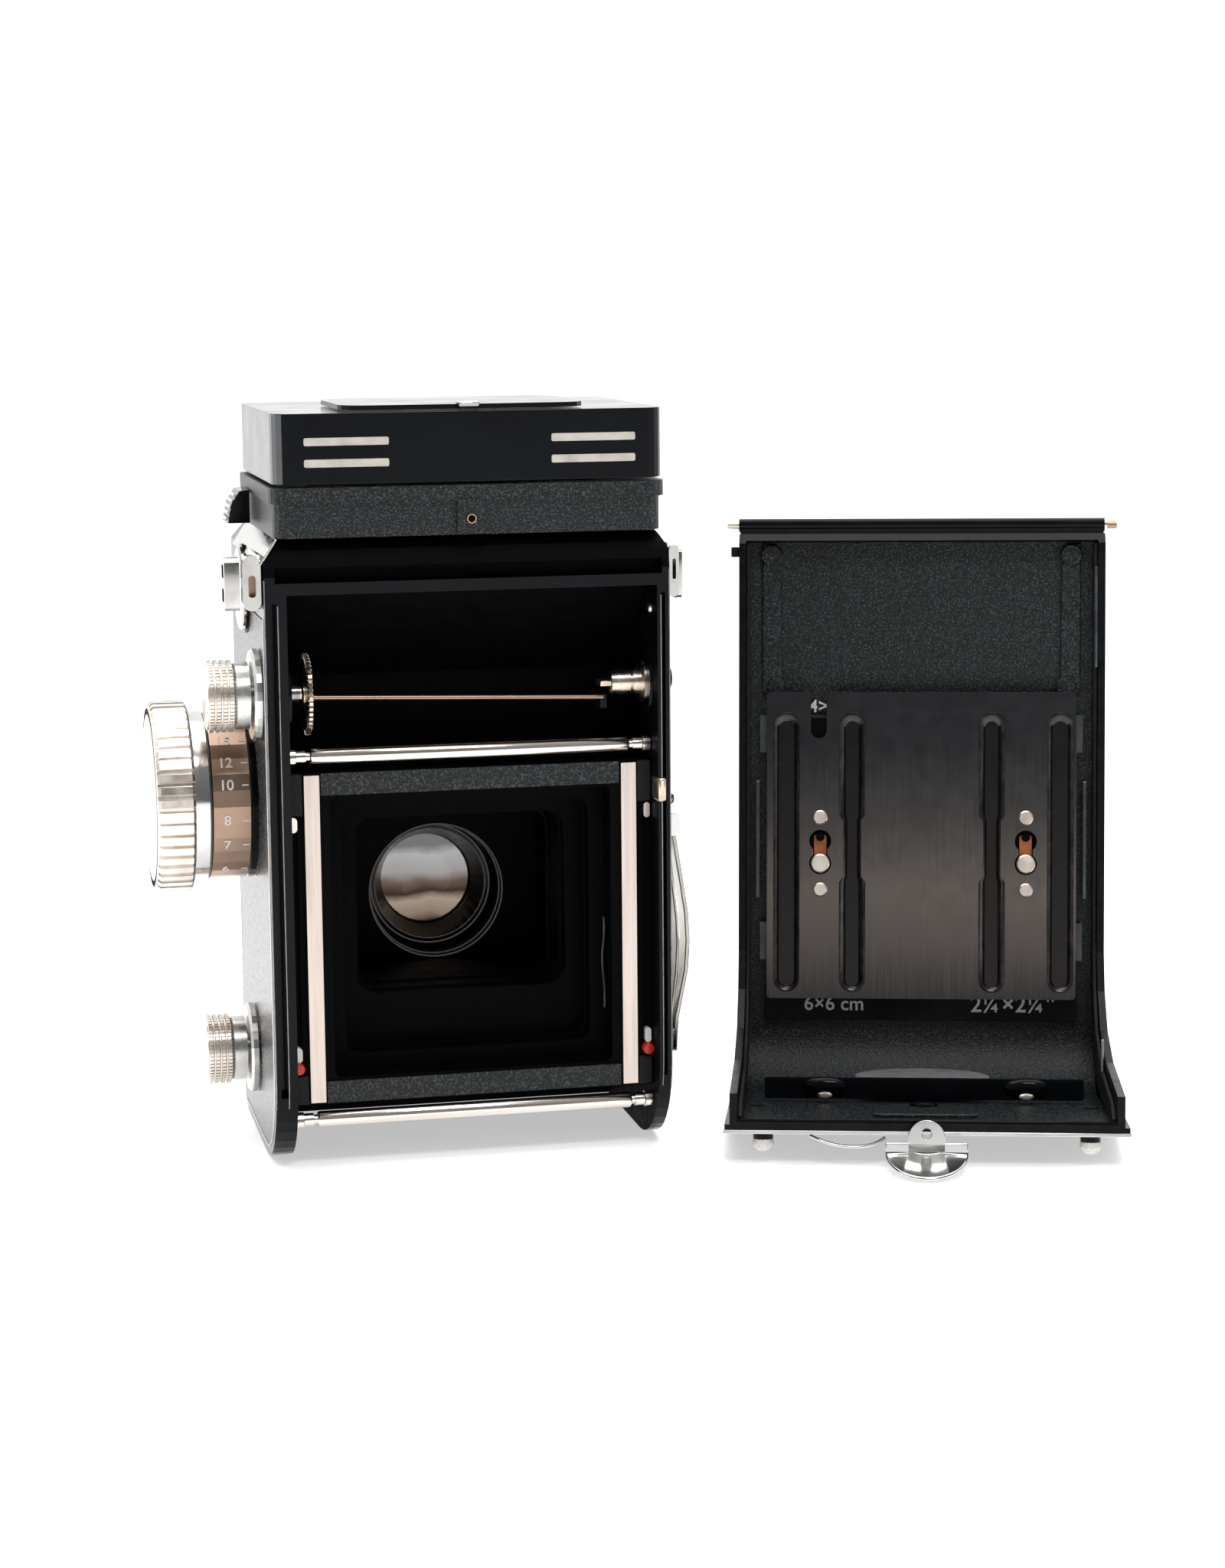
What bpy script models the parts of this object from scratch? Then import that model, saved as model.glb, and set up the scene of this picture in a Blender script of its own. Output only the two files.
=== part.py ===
"""Twin lens reflex camera, seen with its back taken off and stood beside it.

The camera is modelled about its film gate: X to the right as seen from behind,
Y forward to the lenses, Z up, with the film plane at Y = 0 and the gate's centre
at Z = 0.  The back is modelled about its hinge rod, in the attitude it has when
it is fitted, and then stood on its floor plate beside the camera.  Two empties
carry those frames.  Lengths in the tables below are in millimetres.
"""
import math

import bmesh
import bpy
from mathutils import Matrix, Vector

MM = 0.001

# Where the two frames stand in the world.
GATE_HEIGHT = 45.5
FILM_PLANE_Y = -47.0
BACK_ROD = (105.7, 41.1, 74.8)
BACK_LEAN = math.radians(7.5)
BACK_YAW = math.radians(180.0 - 16.5)

# Camera body.
BODY_LEFT = -40.6
BODY_RIGHT = 38.8
BODY_FRONT = 52.0
BODY_TOP = 79.0
BODY_BASE = -GATE_HEIGHT
CORNER = 19.0
CHAMBER = 36.3
SKIN = 0.8

# Film path.
GATE_HALF = 28.1
RAIL_IN = 30.1
RAIL_OUT = 33.1
RAIL_HALF = 32.7
ROLLER_Z = 36.3
ROLLER_Y = 0.2
SPOOL_AXIS = (4.5, 48.2)
FEED_AXIS = (28.0, -27.5)

# Side controls.
FOCUS_AXIS = (24.0, 25.8)
CRANK_AXIS = (20.0, 17.0)
HANDLE_Z = -28.5
LUG = (0.5, 71.0)

# Finder hood.
FRAME_TOP = 88.9
LID_LOW = 89.5
LID_TOP = 103.0
LID_HINGE = (51.2, 89.2)
FLAP_Z = 91.0
HINGE_LEFT = -36.0
HINGE_RIGHT = 35.0
HINGE_REAR = -5.2

# Lenses.
LENS_PITCH = 43.0
BOARD = (52.6, 57.4)

# Back cover, about its hinge rod.
BACK_HALF = 38.8
FLOOR_HALF = 39.8
BACK_DEPTH = 59.0
BACK_FLOOR = -122.8
BACK_CORNER = 15.0
SHEET = 1.6
LATCH_DROP = math.atan2(3.2, 9.6)

ROUND = 32

for old in list(bpy.data.objects):
    bpy.data.objects.remove(old, do_unlink=True)

PARTS = bpy.data.collections.new("twin_lens_reflex_camera")
CUTTERS = bpy.data.collections.new("cutters")
bpy.context.scene.collection.children.link(PARTS)
bpy.context.scene.collection.children.link(CUTTERS)

SPECS = {
    "black_paint": ((0.012, 0.013, 0.016), 0.25, 0.0),
    "black_matte": ((0.010, 0.011, 0.012), 0.75, 0.0),
    "wrinkle_paint": ((0.030, 0.034, 0.036), 0.60, 0.0),
    "leather": ((0.020, 0.020, 0.021), 0.55, 0.0),
    "chrome": ((0.80, 0.79, 0.77), 0.18, 1.0),
    "nickel": ((0.72, 0.69, 0.66), 0.28, 1.0),
    "brass": ((0.60, 0.45, 0.25), 0.30, 1.0),
    "bronze": ((0.33, 0.25, 0.21), 0.35, 1.0),
    "dark_plate": ((0.045, 0.038, 0.036), 0.35, 0.7),
    "glass": ((0.55, 0.58, 0.62), 0.05, 0.0),
    "mirror": ((0.85, 0.86, 0.88), 0.05, 1.0),
}
MATERIALS = {}


def material(key):
    if key not in MATERIALS:
        colour, rough, metal = SPECS[key]
        mat = bpy.data.materials.new(key)
        mat.use_nodes = True
        shader = mat.node_tree.nodes["Principled BSDF"]
        shader.inputs["Base Color"].default_value = (*colour, 1.0)
        shader.inputs["Roughness"].default_value = rough
        shader.inputs["Metallic"].default_value = metal
        MATERIALS[key] = mat
    return MATERIALS[key]


def realise(guide):
    """The guide's evaluated shape as a welded mesh, smooth where it is round."""
    bpy.context.scene.collection.objects.link(guide)
    graph = bpy.context.evaluated_depsgraph_get()
    mesh = bpy.data.meshes.new_from_object(guide.evaluated_get(graph))
    mesh.name = guide.name.replace("_guide", "")
    bpy.data.objects.remove(guide)
    bm = bmesh.new()
    bm.from_mesh(mesh)
    bmesh.ops.remove_doubles(bm, verts=bm.verts, dist=0.00001)
    bmesh.ops.recalc_face_normals(bm, faces=bm.faces)
    bm.to_mesh(mesh)
    bm.free()
    mesh.materials.clear()
    mesh.shade_smooth()
    mesh.set_sharp_from_angle(angle=math.radians(30.0))
    return mesh


class Frame:
    """An empty that carries objects, and the point it stands at in its datum."""

    def __init__(self, name, parent=None, pivot=(0.0, 0.0, 0.0)):
        self.pivot = Vector(pivot) * MM
        self.empty = bpy.data.objects.new(name, None)
        self.empty.empty_display_size = 0.005
        bpy.context.scene.collection.objects.link(self.empty)
        if parent is not None:
            self.empty.parent = parent.empty
            self.empty.location = self.pivot - parent.pivot


def settle(ob, frame, finish, matrix=None):
    """Parent an object to a frame; shapes stay in the datum's coordinates."""
    ob.parent = frame.empty
    basis = matrix if matrix is not None else Matrix.Identity(4)
    ob.matrix_basis = Matrix.Translation(-frame.pivot) @ basis
    if finish is None:
        CUTTERS.objects.link(ob)
        ob.hide_render = True
        ob.display_type = "WIRE"
    else:
        PARTS.objects.link(ob)
        ob.data.materials.append(material(finish))
    return ob


def box(name, low, high, frame, finish=None):
    low, high = Vector(low) * MM, Vector(high) * MM
    bm = bmesh.new()
    bmesh.ops.create_cube(bm, size=1.0)
    bmesh.ops.scale(bm, vec=high - low, verts=bm.verts)
    bmesh.ops.translate(bm, vec=(low + high) / 2, verts=bm.verts)
    mesh = bpy.data.meshes.new(name)
    bm.to_mesh(mesh)
    bm.free()
    return settle(bpy.data.objects.new(name, mesh), frame, finish)


TURN_PLANES = {
    "X": Matrix(((0, 0, 1), (1, 0, 0), (0, 1, 0))).to_4x4(),
    "Y": Matrix(((1, 0, 0), (0, 0, -1), (0, 1, 0))).to_4x4(),
    "Z": Matrix.Identity(4),
}


def prism(name, axis, outlines, low, high, frame, finish=None, tilt=None):
    """Flat outlines (Y Z, X Z or X Y) run from low to high along the axis."""
    curve = bpy.data.curves.new(name, "CURVE")
    curve.dimensions = "2D"
    curve.fill_mode = "BOTH"
    curve.extrude = (high - low) / 2 * MM
    for outline in outlines:
        spline = curve.splines.new("POLY")
        spline.points.add(len(outline) - 1)
        for point, (u, v) in zip(spline.points, outline):
            point.co = (u * MM, v * MM, 0.0, 1.0)
        spline.use_cyclic_u = True
    guide = bpy.data.objects.new(name + "_guide", curve)
    middle = (low + high) / 2 * MM
    if axis == "Y":
        middle = -middle
    guide.matrix_world = TURN_PLANES[axis] @ Matrix.Translation((0, 0, middle))
    if tilt is not None:
        guide.matrix_world = tilt @ guide.matrix_world
    place = guide.matrix_world.copy()
    return settle(bpy.data.objects.new(name, realise(guide)), frame, finish, place)


AXES = {
    "+X": Matrix.Rotation(math.pi / 2, 4, "Y"),
    "-X": Matrix.Rotation(-math.pi / 2, 4, "Y"),
    "+Y": Matrix.Rotation(-math.pi / 2, 4, "X"),
    "+Z": Matrix.Identity(4),
    "-Z": Matrix.Rotation(math.pi, 4, "X"),
}


def turned(name, axis, centre, profile, frame, finish=None, closed=False, steps=ROUND):
    """A profile of (distance along the axis, radius), far end first, outer side first."""
    mesh = bpy.data.meshes.new(name)
    verts = [(radius * MM, 0.0, along * MM) for along, radius in profile]
    edges = [(i, i + 1) for i in range(len(verts) - 1)]
    if closed:
        edges.append((len(verts) - 1, 0))
    mesh.from_pydata(verts, edges, [])
    guide = bpy.data.objects.new(name + "_guide", mesh)
    screw = guide.modifiers.new("turn", "SCREW")
    screw.axis = "Z"
    screw.steps = steps
    screw.render_steps = steps
    screw.use_merge_vertices = True
    screw.merge_threshold = 0.00001
    place = Matrix.Translation(Vector(centre) * MM) @ AXES[axis]
    return settle(bpy.data.objects.new(name, realise(guide)), frame, finish, place)


def rod(name, axis, centre, low, high, radius, frame, finish=None, steps=ROUND):
    profile = [(high, 0.0), (high, radius), (low, radius), (low, 0.0)]
    return turned(name, axis, centre, profile, frame, finish, steps=steps)


def boolean(ob, tool, operation):
    mod = ob.modifiers.new(operation.lower(), "BOOLEAN")
    mod.operation = operation
    mod.solver = "EXACT"
    mod.object = tool
    return mod


def cut(ob, *tools):
    for tool in tools:
        boolean(ob, tool, "DIFFERENCE")


def join(ob, *tools):
    for tool in tools:
        boolean(ob, tool, "UNION")


def arc(cu, cv, radius, start, end, count=8):
    """Points from start to end degrees about (cu, cv)."""
    angles = [math.radians(start + (end - start) * i / count) for i in range(count + 1)]
    return [(cu + radius * math.cos(a), cv + radius * math.sin(a)) for a in angles]


def rounded(u0, u1, v0, v1, radius, count=4):
    """A rectangle with round corners, counter-clockwise."""
    return (arc(u1 - radius, v1 - radius, radius, 0, 90, count)
            + arc(u0 + radius, v1 - radius, radius, 90, 180, count)
            + arc(u0 + radius, v0 + radius, radius, 180, 270, count)
            + arc(u1 - radius, v0 + radius, radius, 270, 360, count))


def rect(u0, u1, v0, v1):
    return [(u1, v1), (u0, v1), (u0, v0), (u1, v0)]


# ---------------------------------------------------------------- camera body

camera = Frame("camera_datum")
camera.empty.location = (0.0, FILM_PLANE_Y * MM, GATE_HEIGHT * MM)


def body_outline():
    """Side view (Y, Z): a big radius at the lower rear, a small one at the shoulder."""
    return ([(49.0, BODY_BASE), (BODY_FRONT, BODY_BASE + 3.0)]
            + arc(47.0, BODY_TOP - 5.0, 5.0, 0, 90, 4)
            + arc(0.0, BODY_TOP - 7.0, 7.0, 90, 180, 6)
            + arc(12.0, BODY_BASE + CORNER, CORNER, 180, 270, 10))


def side_panel(grow):
    """Outline (Y, Z) of a leather panel, grown a little for the recess that it lies in."""
    small = 2.0 + grow
    return (arc(48.7, 61.6, small, 0, 90, 4)
            + arc(-2.5, 61.6, small, 90, 180, 4)
            + arc(12.6, BODY_BASE + CORNER, 17.1 + grow, 180, 270, 10)
            + arc(48.7, -41.6, small, 270, 360, 4))


def make_shell():
    shell = prism("body_shell", "X", [body_outline()], BODY_LEFT, BODY_RIGHT, camera, "black_paint")
    upper = [(-8.0, 33.5), (22.0, 33.5), (22.0, 49.5), (3.0, 68.5), (-8.0, 68.5)]
    lower = [(-8.0, -47.5), (42.0, -47.5), (42.0, -15.8), (15.0, -15.8), (15.0, -33.6), (-8.0, -33.6)]
    finder = [(48.0, 30.5), (48.0, 80.0), (-1.0, 80.0), (-1.0, 77.0)]
    cut(shell,
        prism("cut_leather_left", "X", [side_panel(0.3)], -45.0, BODY_LEFT + SKIN, camera),
        prism("cut_leather_right", "X", [side_panel(0.3)], BODY_RIGHT - SKIN, 45.0, camera),
        box("cut_gate_recess", (-CHAMBER, -8, -40), (CHAMBER, 1.0, 40), camera),
        prism("cut_upper_chamber", "X", [upper], -CHAMBER, CHAMBER, camera),
        prism("cut_lower_chamber", "X", [lower], -CHAMBER, CHAMBER, camera),
        prism("cut_finder", "X", [finder], -30.5, 29.5, camera),
        prism("cut_shoulder_left", "Y", [[(-37.5, 79.5), (-42.0, 79.5), (-42.0, 73.4)]], -8.0, 53.0,
              camera),
        prism("cut_shoulder_right", "Y", [[(36.9, 79.5), (40.0, 73.2), (40.0, 79.5)]], -8.0, 53.0,
              camera),
        box("cut_hinge_channel", (-38.5, -8, 70.8), (37.3, -3.6, 73.8), camera),
        box("cut_groove_left", (-39.6, -8, -30), (-38.0, -3.0, 67), camera),
        box("cut_groove_right", (37.0, -8, -30), (37.9, -3.0, 67), camera))
    for name, near, far, half, radius in (("a", 0.5, 7.0, 28.1, 1.5), ("b", 6.5, 14.0, 25.0, 3.0)):
        cut(shell, prism("cut_cone_" + name, "Y", [rounded(-half, half, -half, half, radius)],
                         near, far, camera))
    cut(shell,
        prism("cut_cone_c", "Y", [rounded(-21.5, 21.5, -14.6, 21.5, 4.0)], 13.5, 45.0, camera),
        rod("cut_taking_port", "+Y", (0, 0, 0), 44.0, 53.0, 14.0, camera),
        rod("cut_finder_port", "+Y", (0, 0, LENS_PITCH), 47.0, 53.0, 12.4, camera),
        rod("cut_spool_hole", "-X", (0, *SPOOL_AXIS), 36.0, 42.0, 3.2, camera, steps=16),
        rod("cut_feed_hole", "-X", (0, *FEED_AXIS), 36.0, 42.0, 3.2, camera, steps=16))
    return shell


def make_film_gate():
    outer = rect(-34.5, 34.5, -33.2, 33.2)
    hole = rounded(-GATE_HALF, GATE_HALF, -GATE_HALF, GATE_HALF, 1.5)
    prism("film_gate", "Y", [outer, hole], 0.0, 0.7, camera, "black_matte")
    for name, low in (("film_rail_left", -RAIL_OUT), ("film_rail_right", RAIL_IN)):
        box(name, (low, -1.0, -RAIL_HALF), (low + RAIL_OUT - RAIL_IN, -0.3, RAIL_HALF),
            camera, "nickel")


def make_rollers():
    for name, z in (("upper", ROLLER_Z), ("lower", -ROLLER_Z)):
        frame = Frame(name + "_roller_axis", camera, (0.0, ROLLER_Y, z))
        profile = [(35.6, 0.0), (35.6, 0.9), (31.8, 0.9), (31.8, 1.5),
                   (-31.8, 1.5), (-31.8, 0.9), (-35.6, 0.9), (-35.6, 0.0)]
        turned(name + "_film_roller", "+X", (0, ROLLER_Y, z), profile, frame, "chrome", steps=16)
        bush = [(36.1, 1.6), (34.6, 1.6), (34.6, 1.0), (36.1, 1.0)]
        for side, axis in (("left", "-X"), ("right", "+X")):
            turned(name + "_bushing_" + side, axis, (0, ROLLER_Y, z), bush, camera, "brass",
                   closed=True, steps=16)


def make_takeup():
    """Take-up chamber: braked toothed wheel, guard rod and drive key."""
    y, z = SPOOL_AXIS
    wheel = Frame("brake_wheel_axis", camera, (-31.5, y, z))
    turned("brake_wheel", "-X", (0, y, z),
           [(32.2, 0.0), (32.2, 2.2), (31.8, 2.2), (31.8, 7.9), (31.0, 7.9), (31.0, 0.0)],
           wheel, "nickel")
    bracket = box("guard_rod", (27.0, 4.2, 42.6), (28.2, 21.7, 45.6), camera, "black_matte")
    slope = Matrix.Translation(Vector((-1.6, y, 46.3)) * MM)
    slope = slope @ Matrix.Rotation(math.atan2(1.9, 57.8), 4, "Y") @ AXES["+X"]
    bar = rod("join_guard_bar", "+Z", (0, 0, 0), -28.9, 29.2, 0.5, camera, steps=10)
    bar.matrix_basis = slope
    join(bracket, bar)
    key = Frame("drive_key_axis", camera, (32.0, y, z))
    drum = turned("drive_key", "+X", (0, y, z),
                  [(36.0, 0.0), (36.0, 4.2), (35.3, 4.2), (35.3, 2.5), (28.9, 2.5), (28.9, 0.0)],
                  key, "brass")
    join(drum, box("join_key_blade", (27.0, y - 2.0, z - 0.5), (29.5, y + 2.0, z + 0.5), key))


def make_spool_knobs():
    """Pull-out knobs that hold the film spools, each on its fixed plate."""
    for name, (y, z) in (("upper", SPOOL_AXIS), ("lower", FEED_AXIS)):
        turned(name + "_knob_plate", "-X", (0, y, z),
               [(42.5, 8.6), (42.0, 9.1), (41.0, 9.1), (41.0, 4.2), (42.5, 4.2)],
               camera, "chrome", closed=True)
        frame = Frame(name + "_knob_axis", camera, (-45.0, y, z))
        turned(name + "_spool_knob", "-X", (0, y, z),
               [(51.0, 0.0), (51.0, 6.6), (50.5, 7.1), (45.7, 7.1), (45.3, 6.4), (43.0, 6.4),
                (43.0, 2.9), (36.9, 2.9), (36.9, 1.7), (33.0, 1.7), (33.0, 0.0)],
               frame, "chrome")


def gear_outline(cu, cv, tip, root, teeth):
    step = 360.0 / teeth
    points = []
    for i in range(teeth):
        for offset, radius in ((0.0, root), (0.30, root), (0.38, tip), (0.92, tip)):
            a = math.radians((i + offset) * step)
            points.append((cu + radius * math.cos(a), cv + radius * math.sin(a)))
    return points


def make_focus():
    y, z = FOCUS_AXIS
    frame = Frame("focus_axis", camera, (-52.0, y, z))
    rim = prism("focus_knob_rim", "X", [gear_outline(y, z, 19.3, 18.6, 40)], -61.0, -53.4,
                frame, "chrome")
    cut(rim, rod("cut_knob_face", "-X", (0, y, z), 58.6, 62.0, 16.8, frame))
    join(rim, rod("join_knob_ring", "-X", (0, y, z), 50.2, 54.0, 17.4, frame))
    rod("focus_scale_drum", "-X", (0, y, z), 42.6, 49.9, 16.6, frame, "bronze")
    rod("focus_base_ring", "-X", (0, y, z), 41.0, 42.2, 16.7, camera, "black_paint")


def make_leathers():
    holes = [arc(y, z, 3.7, 0, 337.5, 15) for y, z in (SPOOL_AXIS, FEED_AXIS)]
    side = side_panel(0.0)
    prism("leather_left", "X", [side] + holes, BODY_LEFT, BODY_LEFT + 0.5, camera, "leather")
    prism("leather_right", "X", [side], BODY_RIGHT - 0.5, BODY_RIGHT, camera, "leather")


def make_side_fittings():
    for name, sign, face in (("left", -1, BODY_LEFT), ("right", 1, BODY_RIGHT)):
        x0 = face + sign * 0.3
        plate = prism("strap_lug_" + name, "X", [rounded(-5.0, 11.0, 65.6, 76.4, 2.5)],
                      min(x0, x0 + sign * 0.9), max(x0, x0 + sign * 0.9), camera, "chrome")
        x1 = x0 + sign * 0.6
        x2 = x0 + sign * 3.4
        join(plate, rod("join_lug_post_" + name, "+X", (0, *LUG), min(x1, x2), max(x1, x2),
                        3.4, camera, steps=20))
        clip = Frame("strap_clip_axis_" + name, camera, (x0 + sign * 4.6, *LUG))
        a = x0 + sign * 3.8
        b = x0 + sign * 5.6
        prism("strap_clip_" + name, "X", [rounded(LUG[0] - 3.3, LUG[0] + 3.3, 65.2, 74.4, 3.2)],
              min(a, b), max(a, b), clip, "chrome")
    turned("counter_dome", "+X", (0, 18.0, 47.0),
           [(44.9, 0.0), (44.7, 2.2), (43.8, 3.8), (42.0, 4.4), (39.2, 4.4), (39.2, 0.0)],
           camera, "black_paint", steps=24)


def bow(points, thickness):
    """A strip of even thickness along a line of points (X, Z)."""
    outer, inner = [], []
    for i, (u, v) in enumerate(points):
        before = Vector(points[max(i - 1, 0)])
        after = Vector(points[min(i + 1, len(points) - 1)])
        along = (after - before).normalized()
        normal = Vector((along.y, -along.x)) * thickness / 2
        outer.append((u + normal.x, v + normal.y))
        inner.append((u - normal.x, v - normal.y))
    return outer + inner[::-1]


def make_crank():
    y, z = CRANK_AXIS
    turn = Frame("crank_axis", camera, (40.0, y, z))
    hub = turned("crank_hub", "+X", (0, y, z),
                 [(41.3, 0.0), (41.3, 9.6), (40.6, 10.8), (39.2, 10.8), (39.2, 0.0)],
                 turn, "chrome")
    for name, low in (("a", y - 5.8), ("b", y + 3.3)):
        join(hub, box("join_crank_ear_" + name, (41.0, low, z - 2.2), (45.8, low + 2.5, z + 2.2),
                      turn))
    fold = Frame("crank_fold_axis", turn, (44.2, y, z))
    spine = [(44.5, z - 0.8), (45.2, 8.0), (46.5, 0.0), (47.1, -8.0), (46.9, -15.0),
             (46.1, -22.0), (45.1, -28.0), (44.8, HANDLE_Z - 2.5)]
    arm = prism("crank_arm", "Y", [bow(spine, 1.2)], y - 3.0, y + 3.0, fold, "chrome")
    eye = rod("join_crank_eye", "+Y", (44.2, 0, z), y - 3.0, y + 3.0, 1.7, fold, steps=20)
    join(arm, eye)
    spin = Frame("crank_handle_axis", fold, (42.0, y, HANDLE_Z))
    turned("crank_handle", "+X", (0, y, HANDLE_Z),
           [(43.6, 0.0), (43.6, 2.6), (43.0, 3.2), (40.8, 3.2), (40.4, 2.7), (40.4, 0.0)],
           spin, "chrome", steps=24)


def make_finder():
    """Fixed finder parts: frame, focusing screen and reflex mirror."""
    lower = prism("finder_frame", "Z",
                  [rounded(-38.2, 37.6, -6.4, 50.4, 3.5), rounded(-31.0, 30.0, -1.0, 46.0, 2.0)],
                  79.3, 86.3, camera, "wrinkle_paint")
    lip = prism("join_frame_lip", "Z",
                [rounded(-38.9, 38.4, -7.1, 51.0, 3.8), rounded(-31.0, 30.0, -1.0, 46.0, 2.0)],
                85.9, FRAME_TOP, camera)
    join(lower, lip, box("join_frame_tab", (-3.0, -7.3, 79.6), (2.4, -6.0, 86.2), camera))
    box("focusing_screen", (-30.0, 0.0, 76.4), (29.0, 47.0, 78.4), camera, "glass")
    start = Vector((48.0, 30.5))
    along = (Vector((-1.0, 77.0)) - start).normalized()
    normal = Vector((-along.y, along.x)) * -1
    outline = [start + along * s + normal * n for s, n in ((6, 0.4), (56, 0.4), (56, 1.9), (6, 1.9))]
    prism("reflex_mirror", "X", [[(p.x, p.y) for p in outline]], -29.5, 28.5, camera, "mirror")


def make_hood():
    y, z = LID_HINGE
    lid_frame = Frame("hood_lid_axis", camera, (0.0, y, z))
    lid = prism("hood_lid", "Z", [rounded(-38.3, 37.9, -7.3, 50.9, 4.5, 5)], LID_LOW, LID_TOP,
                lid_frame, "black_paint")
    edge = lid.modifiers.new("edge", "BEVEL")
    edge.width = 2.3 * MM
    edge.segments = 4
    edge.limit_method = "ANGLE"
    edge.angle_limit = math.radians(50.0)
    cut(lid, prism("cut_lid", "Z", [rounded(-36.7, 36.3, -5.7, 49.3, 3.0)], LID_LOW - 1.0,
                   LID_TOP - 1.6, lid_frame))
    flap = prism("sports_finder_flap", "Z", [rounded(-24.5, 23.5, -3.5, 33.0, 6.0)],
                 LID_TOP + 0.3, LID_TOP + 1.2, lid_frame, "black_paint")
    join(flap, box("join_flap_catch", (-2.2, -4.9, LID_TOP + 0.3), (2.0, -2.5, LID_TOP + 1.5),
                   lid_frame))
    glass = turned("magnifier", "+Z", (-0.5, 17.0, 0),
                   [(99.2, 0.0), (98.9, 6.0), (98.2, 11.0), (99.0, 11.0), (99.0, 12.6),
                    (96.4, 12.6), (96.4, 11.0), (97.2, 11.0), (96.5, 6.0), (96.2, 0.0)],
                   lid_frame, "glass", steps=28)
    join(glass, box("join_magnifier_arm", (-4.5, -4.9, 97.2), (3.5, 5.6, 98.2), lid_frame))
    reach = 26.0
    for name, hinge, sign in (("left", HINGE_LEFT, 1), ("right", HINGE_RIGHT, -1)):
        frame = Frame("hood_side_axis_" + name, camera, (hinge, 0.0, FLAP_Z))
        rear, front = reach * 0.7 + 0.7 - 5.0, 49.5 - (reach + 1.0) / 0.9
        outline = [(hinge + sign * 0.5, -3.4), (hinge + sign * 0.5, 47.5),
                   (hinge + sign * reach, front), (hinge + sign * reach, rear)]
        prism("hood_side_" + name, "Z", [outline], FLAP_Z - 0.4, FLAP_Z + 0.4, frame, "black_paint")
    frame = Frame("hood_rear_axis", camera, (0.0, HINGE_REAR, FLAP_Z))
    middle = (HINGE_LEFT + HINGE_RIGHT) / 2
    outline = [(middle - 33.0, HINGE_REAR + 0.5), (middle - 6.5, HINGE_REAR + 18.5),
               (middle + 6.5, HINGE_REAR + 18.5), (middle + 33.0, HINGE_REAR + 0.5)]
    prism("hood_rear_flap", "Z", [outline], FLAP_Z - 0.4, FLAP_Z + 0.4, frame, "black_paint")
    catch = Frame("hood_lock_axis", camera, (-41.0, 33.0, 83.0))
    prism("hood_lock_lever", "Y", [[(-39.2, 80.0), (-39.2, 86.6), (-41.2, 86.4), (-42.9, 83.8),
                                    (-43.6, 80.0)]], 27.0, 38.0, catch, "black_paint")


def make_lenses():
    near, far = BOARD
    stand = Frame("lens_standard", camera, (0.0, near, 0.0))
    board = prism("lens_board", "Y", [rounded(-33.5, 32.5, -31.0, 67.0, 7.0, 5)], near, far, stand,
                  "black_paint")
    cut(board,
        rod("cut_taking_seat", "+Y", (0, 0, 0), near - 1, far + 1, 13.4, stand),
        rod("cut_finder_seat", "+Y", (0, 0, LENS_PITCH), near - 1, far + 1, 13.4, stand),
        rod("cut_release_hole", "+Y", (25.5, 0, -24.0), near - 1, far + 1, 2.3, stand, steps=16))
    turned("taking_lens_barrel", "+Y", (0, 0, 0),
           [(78.0, 18.2), (74.5, 18.2), (74.0, 17.0), (57.8, 17.0), (57.8, 13.0), (53.0, 13.0),
            (53.0, 11.8), (58.4, 9.9), (61.5, 9.9), (61.5, 13.2), (76.0, 13.2), (78.0, 15.4)],
           stand, "black_paint", closed=True)
    turned("taking_rear_glass", "+Y", (0, 0, 0),
           [(61.2, 0.0), (61.2, 9.5), (60.2, 9.5), (59.4, 5.5), (59.1, 0.0)], stand, "glass")
    turned("taking_front_glass", "+Y", (0, 0, 0),
           [(75.4, 0.0), (74.9, 6.5), (73.4, 12.8), (72.4, 12.8), (72.4, 0.0)], stand, "glass")
    turned("viewing_lens_barrel", "+Y", (0, 0, LENS_PITCH),
           [(75.0, 18.2), (71.5, 18.2), (71.0, 17.0), (57.8, 17.0), (57.8, 13.0), (53.0, 13.0),
            (53.0, 11.8), (62.0, 11.8), (62.0, 14.2), (73.0, 14.2), (75.0, 15.6)],
           stand, "black_paint", closed=True)
    turned("viewing_lens_glass", "+Y", (0, 0, LENS_PITCH),
           [(73.6, 0.0), (72.9, 7.5), (71.2, 13.8), (70.2, 13.8), (70.2, 0.0)], stand, "glass")
    for name, x in (("aperture_wheel", -22.5), ("speed_wheel", 21.5)):
        wheel = Frame(name + "_axis", stand, (x, 60.0, 21.5))
        prism(name, "Y", [gear_outline(x, 21.5, 6.6, 6.1, 18)], far + 0.4, 62.6, wheel, "chrome")
    press = Frame("release_axis", stand, (25.5, 60.0, -24.0))
    turned("shutter_release", "+Y", (25.5, 0, -24.0),
           [(64.0, 0.0), (63.8, 3.0), (63.2, 3.8), (60.6, 3.8), (60.6, 1.9), (56.8, 1.9),
            (56.8, 0.0)], press, "chrome", steps=24)


# ----------------------------------------------------------------- back cover

back = Frame("back_datum")
back.empty.location = Vector((BACK_ROD[0], BACK_ROD[1] + FILM_PLANE_Y, BACK_ROD[2] + GATE_HEIGHT)) * MM
back.empty.rotation_euler = (BACK_LEAN, 0.0, BACK_YAW)


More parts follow.
